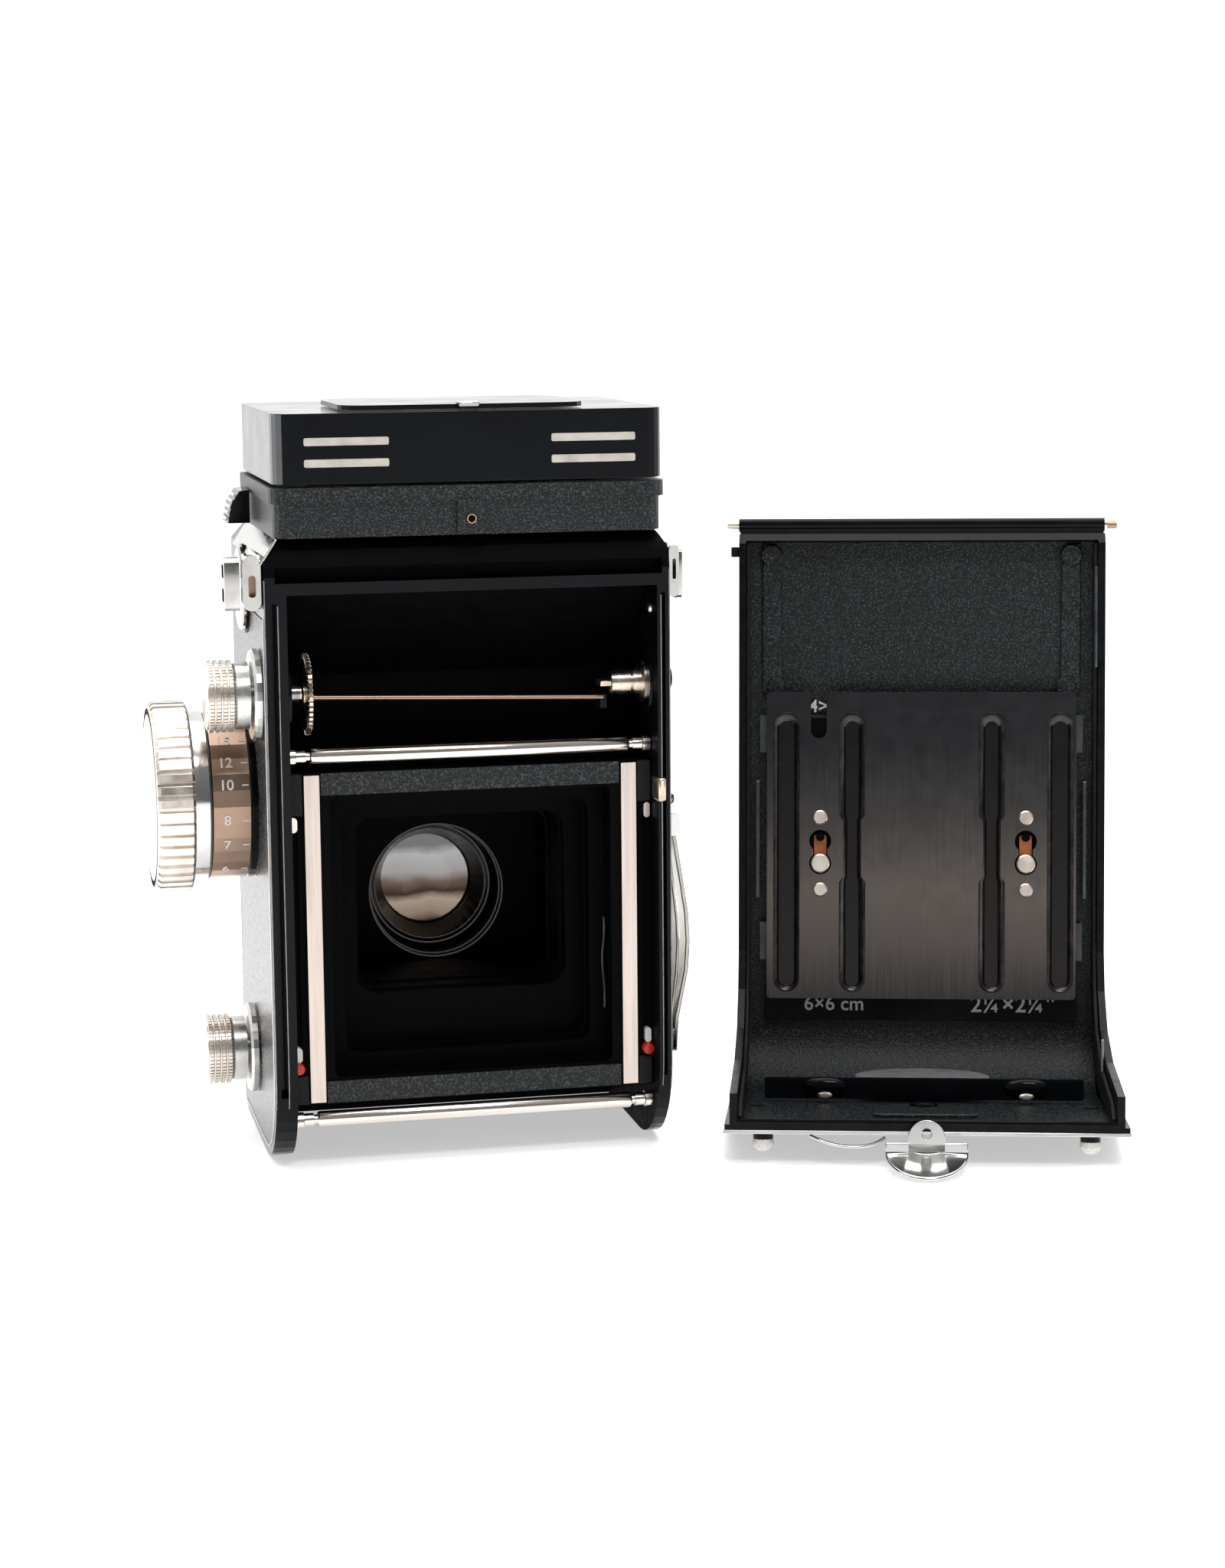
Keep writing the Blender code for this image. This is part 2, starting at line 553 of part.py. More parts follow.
def make_back_shell():
    """Wall, rolled lower corner and floor in one sheet, with flanges down both sides."""
    centre_y = BACK_CORNER - 3.0
    centre_z = BACK_FLOOR + BACK_CORNER
    outer = ([(2.5, -1.9), (-3.0, -1.9)]
             + arc(centre_y, centre_z, BACK_CORNER, 180, 270, 10)
             + [(BACK_DEPTH, BACK_FLOOR), (BACK_DEPTH, -115.0), (30.0, -111.5), (15.0, -106.5),
                (7.0, -99.0), (4.2, -91.0), (4.2, -4.0)])
    shell = prism("back_shell", "X", [outer], -FLOOR_HALF, FLOOR_HALF, back, "black_paint")
    side = [(BACK_DEPTH + 1.0, 2.0), (-4.0, 2.0), (-4.0, -119.0), (BACK_DEPTH + 1.0, -121.2)]
    cut(shell,
        prism("cut_side_left", "X", [side], BACK_HALF, FLOOR_HALF + 1.0, back),
        prism("cut_side_right", "X", [side], -FLOOR_HALF - 1.0, -BACK_HALF, back))
    inner = ([(30.0, -3.4), (-3.0 + SHEET, -3.4)]
             + arc(centre_y, centre_z, BACK_CORNER - SHEET, 180, 270, 10)
             + [(BACK_DEPTH - 1.4, BACK_FLOOR + SHEET), (BACK_DEPTH - 1.4, -120.6), (60.0, -120.6),
                (60.0, -90.0)])
    cut(shell, prism("cut_back", "X", [inner], -BACK_HALF + 1.5, BACK_HALF - 1.5, back))
    for name, x in (("left", 32.2), ("right", -32.2)):
        foot = turned("join_foot_" + name, "-Z", (x, 56.4, 0),
                      [(126.4, 0.0), (126.0, 1.3), (125.0, 2.0), (122.0, 2.0), (122.0, 0.0)],
                      back, steps=16)
        join(shell, foot)


def make_hinge():
    barrel = turned("hinge_barrel", "+X", (0, 0, 0),
                    [(38.9, 0.0), (38.9, 1.45), (-38.9, 1.45), (-38.9, 0.85), (-41.3, 0.85),
                     (-41.3, 0.0)], back, "black_paint", steps=20)
    cut(barrel, rod("cut_pin_bore", "+X", (0, 0, 0), 28.5, 40.0, 1.05, back, steps=16))
    pin = Frame("hinge_pin_axis", back, (36.0, 0.0, 0.0))
    rod("hinge_pin", "+X", (0, 0, 0), 32.0, 41.4, 0.85, pin, "bronze", steps=16)


def make_pressure_plate():
    box("back_lining", (-32.5, -1.1, -100.5), (32.5, -0.6, -4.0), back, "wrinkle_paint")
    press = Frame("plate_carrier_axis", back, (0.0, 1.0, -67.0))
    outline = []
    for x, z in ((34.3, -93.0), (34.3, -85.0), (30.0, -85.0), (30.0, -48.6), (34.3, -48.6),
                 (34.3, -40.6)):
        outline.append((x, z))
    outline += [(-x, z) for x, z in outline[::-1]]
    prism("plate_carrier", "Y", [outline], 0.7, 1.7, press, "nickel")
    shift = Frame("pressure_plate_axis", press, (0.0, 3.0, -67.0))
    plate = prism("pressure_plate", "Y", [rounded(-32.8, 32.8, -101.1, -35.7, 1.0, 2)], 3.0, 4.4,
                  shift, "dark_plate")
    cut(plate, prism("cut_plate_notch", "Y", [rounded(20.1, 23.3, -45.4, -30.0, 1.5)], 2.0, 5.0,
                     shift))
    for side, x in (("left", 21.4), ("right", -22.2)):
        cut(plate, rod("cut_keyhole_" + side, "+Y", (x, 0, -67.3), 2.0, 5.0, 2.3, shift, steps=16))
        for tag, z, radius in (("top", -62.6, 1.5), ("middle", -72.2, 1.9), ("low", -77.8, 1.5)):
            join(plate, rod("join_rivet_" + tag + "_" + side, "+Y", (x, 0, z), 4.0, 4.9, radius,
                            shift, steps=12))


def make_back_fittings():
    spring = prism("spool_spring", "Y", [rounded(-33.0, 32.6, -119.6, -116.2, 1.2)], 26.0, 27.0, back,
                   "black_paint")
    join(spring, box("join_spring_foot", (-31.0, 26.0, -120.8), (30.6, 27.0, -119.0), back))
    turned("tripod_boss", "+Z", (0, 14.8, 0),
           [(-117.3, 0.0), (-117.3, 4.4), (-117.1, 4.6), (-117.1, 10.6), (-118.1, 10.6),
            (-118.1, 4.0), (-120.8, 4.0), (-120.8, 0.0)], back, "nickel")
    hinge = Frame("latch_axis", back, (0.0, 60.6, -124.6))
    tab = [(-3.5, -127.0), (3.5, -127.0)] + arc(0.0, -123.3, 3.5, 0, 180, 8)
    hole = arc(0.0, -122.4, 1.05, 0, 324, 9)
    latch = prism("back_latch", "Y", [tab, hole], 60.2, 61.0, hinge, "chrome")
    join(latch, prism("join_latch_strip", "Y", [rect(-8.1, 8.1, -127.0, -124.0)], 60.2, 61.0, hinge))
    slope = Matrix.Translation(Vector((0.0, 60.6, -126.6)) * MM) @ Matrix.Rotation(-LATCH_DROP, 4, "X")
    scoop = [(8.1, -0.2)] + [(8.1 * math.cos(a), 10.0 * math.sin(a))
                             for a in [math.radians(7.5 * i) for i in range(1, 24)]] + [(-8.1, -0.2)]
    join(latch, prism("join_latch_scoop", "Z", [scoop], -0.4, 0.4, hinge, tilt=slope))


make_shell()
make_film_gate()
make_rollers()
make_takeup()
make_spool_knobs()
make_focus()
make_leathers()
make_side_fittings()
make_crank()
make_finder()
make_hood()
make_lenses()
make_back_shell()
make_hinge()
make_pressure_plate()
make_back_fittings()
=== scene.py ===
"""Looks for a twin lens reflex camera with its back off and standing beside it.

Sizes are in millimetres, in two frames: the camera's, about its film gate (X right as
seen from behind, Y forward to the lenses, Z up), and the back's, about its hinge rod.
"""
import math

import bmesh
import bpy
from mathutils import Matrix, Vector


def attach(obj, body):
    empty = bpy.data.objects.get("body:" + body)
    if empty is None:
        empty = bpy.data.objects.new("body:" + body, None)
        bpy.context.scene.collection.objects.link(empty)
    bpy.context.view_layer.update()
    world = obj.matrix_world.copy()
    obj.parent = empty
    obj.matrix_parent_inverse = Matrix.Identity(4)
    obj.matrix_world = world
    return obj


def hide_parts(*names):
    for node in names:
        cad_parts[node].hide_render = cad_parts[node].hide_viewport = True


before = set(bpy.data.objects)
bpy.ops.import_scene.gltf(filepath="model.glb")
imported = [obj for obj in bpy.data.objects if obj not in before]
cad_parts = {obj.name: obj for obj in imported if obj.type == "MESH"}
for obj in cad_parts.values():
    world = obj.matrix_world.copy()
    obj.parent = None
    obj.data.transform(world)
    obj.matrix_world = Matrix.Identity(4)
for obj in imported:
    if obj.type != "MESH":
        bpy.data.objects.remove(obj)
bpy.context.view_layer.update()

MM = 0.001
GATE_HEIGHT = 45.5
FILM_PLANE_Y = -47.0


def shift(x, y, z):
    return Matrix.Translation(Vector((x, y, z)) * MM)


CAMERA = shift(0.0, FILM_PLANE_Y, GATE_HEIGHT)
BACK = (shift(105.7, 41.1 + FILM_PLANE_Y, 74.8 + GATE_HEIGHT)
        @ Matrix.Rotation(math.radians(180.0 - 16.5), 4, "Z")
        @ Matrix.Rotation(math.radians(7.5), 4, "X"))

BODY_LEFT, BODY_RIGHT = -40.6, 38.8
SPOOL_AXIS = (4.5, 48.2)
FEED_AXIS = (28.0, -27.5)
FOCUS_AXIS = (24.0, 25.8)
CRANK_AXIS = (20.0, 17.0)
ROLLER_Z = 36.3
DRUM_RADIUS = 16.6
BACK_FLOOR, BACK_CORNER = -122.8, 15.0
PLATE_LOW, PLATE_HIGH = -101.0, -36.0
SHELL_INSIDE = ((-36.4, 36.4), (-6.6, 51.5), (-45.3, 78.6))
SCOOP_HALF, SCOOP_REACH, SCOOP_DISH = 8.1, 10.2, 0.9
SMOOTH_ANGLE = 32.0
WORLD_STRENGTH = 1.3
FLOOR_GLOW = 0.50


# ------------------------------------------------------------------ materials

def links(mat):
    tree = mat.node_tree
    return tree.nodes, tree.links


def pattern(mat, scale, stretch=(1.0, 1.0, 1.0), cells=False):
    """A noise or cell pattern in the object's own coordinates; scale is in patterns per mm."""
    nodes, wires = links(mat)
    coords = nodes.new("ShaderNodeTexCoord")
    mapping = nodes.new("ShaderNodeMapping")
    mapping.inputs["Scale"].default_value = [1000.0 * scale * s for s in stretch]
    wires.new(coords.outputs["Object"], mapping.inputs["Vector"])
    texture = nodes.new("ShaderNodeTexVoronoi" if cells else "ShaderNodeTexNoise")
    texture.inputs["Scale"].default_value = 1.0
    wires.new(mapping.outputs["Vector"], texture.inputs["Vector"])
    if not cells:
        texture.inputs["Detail"].default_value = 3.0
    return texture.outputs["Distance" if cells else "Fac"]


def spread(mat, value, low, high, start=0.3, end=0.7):
    """Maps a pattern onto a range of plain values."""
    nodes, wires = links(mat)
    ranged = nodes.new("ShaderNodeMapRange")
    ranged.inputs["From Min"].default_value = start
    ranged.inputs["From Max"].default_value = end
    ranged.inputs["To Min"].default_value = low
    ranged.inputs["To Max"].default_value = high
    wires.new(value, ranged.inputs["Value"])
    return ranged.outputs["Result"]


def tint(mat, value, stops):
    """Maps a pattern onto colours at the given places."""
    nodes, wires = links(mat)
    ramp = nodes.new("ShaderNodeValToRGB")
    while len(ramp.color_ramp.elements) < len(stops):
        ramp.color_ramp.elements.new(0.5)
    for element, (place, colour) in zip(ramp.color_ramp.elements, stops):
        element.position = place
        element.color = (*colour, 1.0)
    wires.new(value, ramp.inputs["Fac"])
    return ramp.outputs["Color"]


def bump(mat, value, height, shader):
    nodes, wires = links(mat)
    node = nodes.new("ShaderNodeBump")
    node.inputs["Strength"].default_value = 1.0
    node.inputs["Distance"].default_value = height * MM
    wires.new(value, node.inputs["Height"])
    wires.new(node.outputs["Normal"], shader.inputs["Normal"])


def finish(name, dark, light, rough, metal=0.0, grain=0.3, stretch=(1, 1, 1), relief=0.0,
           relief_scale=2.0, cells=False, coat=0.0, specular=0.5, band=(0.3, 0.7)):
    """A Principled material whose colour and roughness wander with a fine grain."""
    mat = bpy.data.materials.new(name)
    mat.use_nodes = True
    nodes, wires = links(mat)
    shader = nodes["Principled BSDF"]
    shader.inputs["Metallic"].default_value = metal
    shader.inputs["Specular IOR Level"].default_value = specular
    shader.inputs["Coat Weight"].default_value = coat
    shader.inputs["Coat Roughness"].default_value = 0.08
    noise = pattern(mat, grain, stretch)
    wires.new(tint(mat, noise, [(band[0], dark), (band[1], light)]), shader.inputs["Base Color"])
    wires.new(spread(mat, noise, rough[0], rough[1]), shader.inputs["Roughness"])
    if relief:
        bump(mat, pattern(mat, relief_scale, cells=cells), relief, shader)
    return mat


def emit(mat, colour, strength):
    shader = links(mat)[0]["Principled BSDF"]
    shader.inputs["Emission Color"].default_value = colour
    shader.inputs["Emission Strength"].default_value = strength


FINISHES = {
    "enamel": finish("gloss_enamel", (0.0012, 0.0016, 0.0026), (0.003, 0.004, 0.006), (0.10, 0.16),
                     grain=0.08, specular=0.12),
    "chamber": finish("chamber_black", (0.0012, 0.0012, 0.0014), (0.0022, 0.0022, 0.0026), (0.5, 0.65),
                      specular=0.04),
    "sheet": finish("sheet_enamel", (0.0015, 0.002, 0.0028), (0.005, 0.006, 0.0075), (0.28, 0.36),
                    grain=0.3, specular=0.14),
    # Channel walls: a darker copy of the plate metal, painted shade in the pressed channels.
    "channel": finish("channel_wall", (0.028, 0.026, 0.026), (0.060, 0.055, 0.054), (0.18, 0.28),
                      metal=0.9, grain=0.4),
    "arm": finish("plated_arm", (0.26, 0.25, 0.22), (0.40, 0.385, 0.345), (0.14, 0.24), metal=1.0, grain=0.2),
    "lug": finish("strap_chrome", (0.40, 0.39, 0.37), (0.54, 0.53, 0.51), (0.08, 0.18), metal=1.0, grain=0.3),
    # Light metal for thin tubes that paint highlights along the flange edges.
    "edge_glint": finish("edge_glint", (0.15, 0.15, 0.155), (0.28, 0.28, 0.285), (0.25, 0.35), metal=0.6),
    "grey_cast": finish("grey_casting", (0.12, 0.12, 0.125), (0.22, 0.22, 0.225), (0.35, 0.5), grain=0.6),
    # A lighter, glossier copy of the gloss enamel for the hood lid's left side: painted light.
    "hood_side_painted_light": finish("hood_side_painted_light", (0.02, 0.022, 0.025), (0.04, 0.043, 0.046), (0.22, 0.30), specular=0.9,
                         coat=0.25, grain=0.1),
    "matte": finish("matte_black", (0.003, 0.0035, 0.004), (0.007, 0.008, 0.009), (0.5, 0.65),
                    specular=0.22, relief=0.02, relief_scale=4.0),
    # Wrinkle enamel: real relief from bumps, and light specks in the colour that are painted glints on the
    # crinkles.
    "wrinkle": finish("wrinkle_enamel_painted_glints", (0.0028, 0.0042, 0.0050), (0.068, 0.077, 0.082), (0.28, 0.42),
                      grain=2.6, band=(0.50, 0.74), relief=0.16, relief_scale=2.6, specular=0.3),
    # Side leather: real grain and bumps on a lighter copy of the black leather; the lighter colour is painted
    # sheen for the glancing sides.
    "leather": finish("grained_leather_painted_sheen", (0.008, 0.008, 0.009), (0.052, 0.052, 0.054), (0.20, 0.32),
                      grain=1.3, band=(0.4, 0.7), relief=0.06, relief_scale=1.3, cells=True, specular=1.0),
    "leather_black": finish("black_leather", (0.004, 0.004, 0.0045), (0.022, 0.022, 0.023), (0.34, 0.50),
                            grain=1.3, band=(0.4, 0.7), relief=0.08, relief_scale=1.3, cells=True),
    "chrome": finish("polished_chrome", (0.58, 0.575, 0.56), (0.68, 0.67, 0.66), (0.08, 0.16),
                     metal=1.0, grain=0.2),
    "satin_chrome": finish("satin_chrome", (0.56, 0.55, 0.535), (0.68, 0.67, 0.655), (0.22, 0.34),
                           metal=1.0, grain=0.5),
    "rail": finish("brushed_rail", (0.46, 0.385, 0.345), (0.66, 0.575, 0.525), (0.24, 0.36), metal=1.0,
                   grain=1.2, stretch=(1.0, 1.0, 0.04)),
    "roller": finish("roller_chrome", (0.74, 0.66, 0.58), (0.88, 0.84, 0.80), (0.14, 0.20), metal=1.0,
                     grain=1.5, stretch=(0.02, 1.0, 1.0)),
    "knurl": finish("knurled_chrome", (0.70, 0.63, 0.56), (0.85, 0.80, 0.75), (0.27, 0.37), metal=1.0,
                    grain=0.4),
    "nickel": finish("worn_nickel", (0.50, 0.41, 0.31), (0.80, 0.72, 0.62), (0.20, 0.32), metal=1.0,
                     grain=0.4),
    "brass": finish("bare_brass", (0.42, 0.30, 0.15), (0.66, 0.50, 0.28), (0.22, 0.35), metal=1.0),
    "bronze": finish("drum_bronze", (0.31, 0.21, 0.155), (0.37, 0.255, 0.185), (0.26, 0.32), metal=0.9,
                     grain=0.12),
    "steel_dark": finish("dark_steel", (0.045, 0.048, 0.052), (0.085, 0.090, 0.095), (0.32, 0.45),
                         metal=0.6),
    "dull_steel": finish("dull_steel", (0.30, 0.28, 0.26), (0.48, 0.45, 0.42), (0.35, 0.5), metal=1.0),
    "rivet": finish("rivet_steel", (0.72, 0.62, 0.54), (0.90, 0.82, 0.74), (0.30, 0.42), metal=1.0),
    "ink": finish("silver_ink", (0.58, 0.56, 0.52), (0.78, 0.75, 0.70), (0.4, 0.5), grain=2.0),
    "stripe": finish("stripe_inlay", (0.44, 0.41, 0.36), (0.60, 0.56, 0.50), (0.35, 0.5), metal=0.3),
    "white": finish("white_enamel", (0.62, 0.60, 0.57), (0.82, 0.80, 0.77), (0.3, 0.4)),
    "red": finish("red_enamel", (0.45, 0.012, 0.008), (0.62, 0.02, 0.012), (0.25, 0.35)),
    "amber": finish("amber_glimpse", (0.20, 0.045, 0.008), (0.42, 0.12, 0.02), (0.35, 0.5)),
    "clear_glass": finish("coated_glass", (0.20, 0.22, 0.27), (0.26, 0.27, 0.31), (0.03, 0.05),
                          metal=0.5, coat=0.5),
    "mirror": finish("silvered_mirror", (0.80, 0.81, 0.83), (0.86, 0.87, 0.89), (0.03, 0.06),
                     metal=1.0),
}


def painted_glow():
    """Thin ring edges with a painted glow: they emit light of their own, a painted highlight standing in for
    the little light that reaches them in the box.
    """
    mat = finish("ring_painted_glow", (0.10, 0.10, 0.10), (0.30, 0.29, 0.28), (0.2, 0.3), metal=0.8, grain=0.12)
    emit(mat, (0.55, 0.53, 0.50, 1.0), 0.09)
    return mat


def graded(name, low, high, stops, rough, metal, waver, grain, stretch=(1.0, 1.0, 1.0), glow=0.0,
           specular=0.5):
    """A finish whose colour changes with height, in mm, and wavers with a grain."""
    mat = finish(name, (0.3, 0.3, 0.3), (0.4, 0.4, 0.4), rough, metal=metal, specular=specular)
    nodes, wires = links(mat)
    shader = nodes["Principled BSDF"]
    coords = nodes.new("ShaderNodeTexCoord")
    split = nodes.new("ShaderNodeSeparateXYZ")
    wires.new(coords.outputs["Object"], split.inputs["Vector"])
    height = spread(mat, split.outputs["Z"], 0.0, 1.0, low * MM, high * MM)
    blend = nodes.new("ShaderNodeMath")
    blend.operation = "MULTIPLY_ADD"
    blend.inputs[1].default_value = waver
    wires.new(pattern(mat, grain, stretch), blend.inputs[0])
    wires.new(height, blend.inputs[2])
    colour = tint(mat, blend.outputs["Value"], stops)
    for old in list(shader.inputs["Base Color"].links):
        wires.remove(old)
    wires.new(colour, shader.inputs["Base Color"])
    if glow:
        wires.new(colour, shader.inputs["Emission Color"])
        shader.inputs["Emission Strength"].default_value = glow
    return mat


painted_reflection_heights = [vertex.co.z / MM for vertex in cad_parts["taking_rear_glass"].data.vertices]
FINISHES["painted_glow"] = painted_glow()
# Painted reflection: colour bands by height stand in for the room mirrored in the rear glass, and the glass
# glows with them.
FINISHES["painted_reflection_glass"] = graded(
    "painted_reflection_glass", min(painted_reflection_heights), max(painted_reflection_heights),
    [(0.10, (0.020, 0.016, 0.015)), (0.20, (0.36, 0.27, 0.20)), (0.36, (0.50, 0.40, 0.31)),
     (0.46, (0.060, 0.040, 0.030)), (0.58, (0.17, 0.12, 0.095)), (0.70, (0.42, 0.40, 0.39)),
     (0.90, (0.52, 0.51, 0.51)), (1.0, (0.22, 0.21, 0.22))],
    (0.06, 0.10), 0.0, 0.22, 0.10, glow=0.62, specular=0.12)
# Pressure plate: brushed streaks, plus painted sheen, with a lighter band low in the middle and darker toward
# the top.
FINISHES["gunmetal"] = graded(
    "brushed_gunmetal_painted_sheen", PLATE_LOW, PLATE_HIGH,
    [(0.11, (0.055, 0.050, 0.050)), (0.30, (0.120, 0.104, 0.096)), (0.46, (0.150, 0.130, 0.118)),
     (0.70, (0.072, 0.066, 0.064)), (0.95, (0.030, 0.031, 0.034))],
    (0.30, 0.42), 0.85, 0.22, 5.5, stretch=(1.0, 1.0, 0.012))
# Channel floors: a darker copy of the plate metal, painted shade in the recess, darkest toward the top.
FINISHES["trough"] = graded(
    "trough_painted_shade", PLATE_LOW, PLATE_HIGH,
    [(0.08, (0.024, 0.020, 0.019)), (0.5, (0.015, 0.012, 0.012)), (1.0, (0.006, 0.006, 0.007))],
    (0.30, 0.40), 0.6, 0.05, 2.0, stretch=(1.0, 1.0, 0.03))


# --------------------------------------------------------------------- shapes

AXES = {
    "+X": Matrix.Rotation(math.pi / 2, 4, "Y"),
    "-X": Matrix.Rotation(-math.pi / 2, 4, "Y"),
    "+Y": Matrix.Rotation(-math.pi / 2, 4, "X"),
    "-Y": Matrix.Rotation(math.pi / 2, 4, "X"),
    "+Z": Matrix.Identity(4),
    "-Z": Matrix.Rotation(math.pi, 4, "X"),
}
PLANES = {
    "X": Matrix(((0, 0, 1), (1, 0, 0), (0, 1, 0))).to_4x4(),
    "Y": Matrix(((1, 0, 0), (0, 0, -1), (0, 1, 0))).to_4x4(),
    "Z": Matrix.Identity(4),
}


def publish(name, mesh, place, body, slot, look, replaces=(), edge=0.0, sharp=SMOOTH_ANGLE):
    """A new piece in a frame, riding on a body, with softened edges."""
    ob = bpy.data.objects.new(name, mesh)
    ob.matrix_world = place
    bpy.context.scene.collection.objects.link(ob)
    mesh.materials.clear()
    mesh.materials.append(FINISHES[look])
    mesh.shade_smooth()
    mesh.set_sharp_from_angle(angle=math.radians(sharp))
    if edge:
        soften = ob.modifiers.new("edge", "BEVEL")
        soften.width = edge * MM
        soften.segments = 2
        soften.limit_method = "ANGLE"
        soften.angle_limit = math.radians(40.0)
    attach(ob, body)
    if replaces:
        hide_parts(*replaces)
    return ob


def thicken(ob, thickness):
    solid = ob.modifiers.new("sheet", "SOLIDIFY")
    solid.thickness = thickness * MM
    solid.offset = 0.0


def clean_mesh(name, bm):
    bmesh.ops.remove_doubles(bm, verts=bm.verts, dist=0.000002)
    bmesh.ops.recalc_face_normals(bm, faces=bm.faces)
    mesh = bpy.data.meshes.new(name)
    bm.to_mesh(mesh)
    bm.free()
    return mesh


def curve_mesh(name, curve):
    """The mesh of a curve, whose own object is not kept."""
    guide = bpy.data.objects.new(name + "_guide", curve)
    bpy.context.scene.collection.objects.link(guide)
    graph = bpy.context.evaluated_depsgraph_get()
    mesh = bpy.data.meshes.new_from_object(guide.evaluated_get(graph))
    bpy.data.objects.remove(guide)
    return mesh


def flat_mesh(name, axis, outlines, low, high):
    """Outlines run from low to high along an axis; later outlines are holes."""
    curve = bpy.data.curves.new(name, "CURVE")
    curve.dimensions = "2D"
    curve.fill_mode = "BOTH"
    curve.extrude = (high - low) / 2 * MM
    for outline in outlines:
        spline = curve.splines.new("POLY")
        spline.points.add(len(outline) - 1)
        for point, (u, v) in zip(spline.points, outline):
            point.co = (u * MM, v * MM, 0.0, 1.0)
        spline.use_cyclic_u = True
    mesh = curve_mesh(name, curve)
    middle = (low + high) / 2 * MM * (-1 if axis == "Y" else 1)
    mesh.transform(PLANES[axis] @ Matrix.Translation((0, 0, middle)))
    bm = bmesh.new()
    bm.from_mesh(mesh)
    bpy.data.meshes.remove(mesh)
    return clean_mesh(name, bm)


def lathe_mesh(name, axis, centre, profile, steps=64):
    """A profile of (distance along the axis, radius) turned about the axis."""
    bm = bmesh.new()
    verts = [bm.verts.new((radius * MM, 0.0, along * MM)) for along, radius in profile]
    edges = [bm.edges.new(pair) for pair in zip(verts, verts[1:])]
    bmesh.ops.spin(bm, geom=verts + edges, cent=(0, 0, 0), axis=(0, 0, 1), angle=2 * math.pi,
                   steps=steps, use_merge=True)
    bmesh.ops.transform(bm, matrix=shift(*centre) @ AXES[axis], verts=bm.verts)
    return clean_mesh(name, bm)


def fluted_mesh(name, axis, centre, rings, teeth, capped=True):
    """A bar of toothed rings, each (distance along the axis, root radius, tip radius)."""
    bm = bmesh.new()
    phases = (0.0, 0.24, 0.34, 0.90)
    loops = []
    for along, root, tip in rings:
        loop = []
        for tooth in range(teeth):
            for index, phase in enumerate(phases):
                angle = 2 * math.pi * (tooth + phase) / teeth
                radius = root if index < 2 else tip
                loop.append(bm.verts.new((radius * math.cos(angle) * MM,
                                          radius * math.sin(angle) * MM, along * MM)))
        loops.append(loop)
    for lower, upper in zip(loops, loops[1:]):
        for i in range(len(lower)):
            j = (i + 1) % len(lower)
            bm.faces.new((lower[i], lower[j], upper[j], upper[i]))
    bm.faces.new(loops[0])
    if capped:
        bm.faces.new(loops[-1])
    bmesh.ops.transform(bm, matrix=shift(*centre) @ AXES[axis], verts=bm.verts)
    return clean_mesh(name, bm)


def box_mesh(name, low, high):
    bm = bmesh.new()
    bmesh.ops.create_cube(bm, size=1.0)
    low, high = Vector(low) * MM, Vector(high) * MM
    bmesh.ops.scale(bm, vec=high - low, verts=bm.verts)
    bmesh.ops.translate(bm, vec=(low + high) / 2, verts=bm.verts)
    return clean_mesh(name, bm)


def tube(name, points, radius, place, body, look):
    """A round wire through points, with filled ends."""
    curve = bpy.data.curves.new(name, "CURVE")
    curve.dimensions = "3D"
    curve.bevel_depth = radius * MM
    curve.bevel_resolution = 3
    curve.use_fill_caps = True
    spline = curve.splines.new("NURBS")
    spline.points.add(len(points) - 1)
    for point, place_mm in zip(spline.points, points):
        point.co = (*(Vector(place_mm) * MM), 1.0)
    spline.use_endpoint_u = True
    spline.order_u = 3
    curve.materials.append(FINISHES[look])
    ob = bpy.data.objects.new(name, curve)
    ob.matrix_world = place
    bpy.context.scene.collection.objects.link(ob)
    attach(ob, body)
    return ob


def text_mesh(name, words, size, depth):
    """Letters about their own middle, standing up in X Z and facing -Y."""
    curve = bpy.data.curves.new(name, "FONT")
    curve.body = words
    curve.size = size * MM
    curve.extrude = depth / 2 * MM
    curve.offset = 0.012 * size * MM
    curve.align_x = "CENTER"
    curve.align_y = "CENTER"
    mesh = curve_mesh(name, curve)
    mesh.transform(AXES["-Y"])
    return mesh


def arc(cu, cv, radius, start, end, count=12):
    angles = [math.radians(start + (end - start) * i / count) for i in range(count + 1)]
    return [(cu + radius * math.cos(a), cv + radius * math.sin(a)) for a in angles]


def rounded(u0, u1, v0, v1, radius, count=6):
    return (arc(u1 - radius, v1 - radius, radius, 0, 90, count)
            + arc(u0 + radius, v1 - radius, radius, 90, 180, count)
            + arc(u0 + radius, v0 + radius, radius, 180, 270, count)
            + arc(u1 - radius, v0 + radius, radius, 270, 360, count))


class Maker:
    """Adds pieces that share a frame and a body."""

    def __init__(self, place, body, slot):
        self.place, self.body, self.slot = place, body, slot

    def add(self, name, mesh, look, **options):
        return publish(name, mesh, self.place, self.body, self.slot, look, **options)

    def box(self, name, low, high, look, edge=0.15, **options):
        return self.add(name, box_mesh(name, low, high), look, edge=edge, **options)

    def flat(self, name, axis, outlines, low, high, look, edge=0.12, **options):
        return self.add(name, flat_mesh(name, axis, outlines, low, high), look, edge=edge, **options)

    def lathe(self, name, axis, centre, profile, look, steps=64, **options):
        return self.add(name, lathe_mesh(name, axis, centre, profile, steps), look, **options)

    def tube(self, name, points, radius, look):
        return tube(name, points, radius, self.place, self.body, look)


# ---------------------------------------------------------- finishes of the CAD

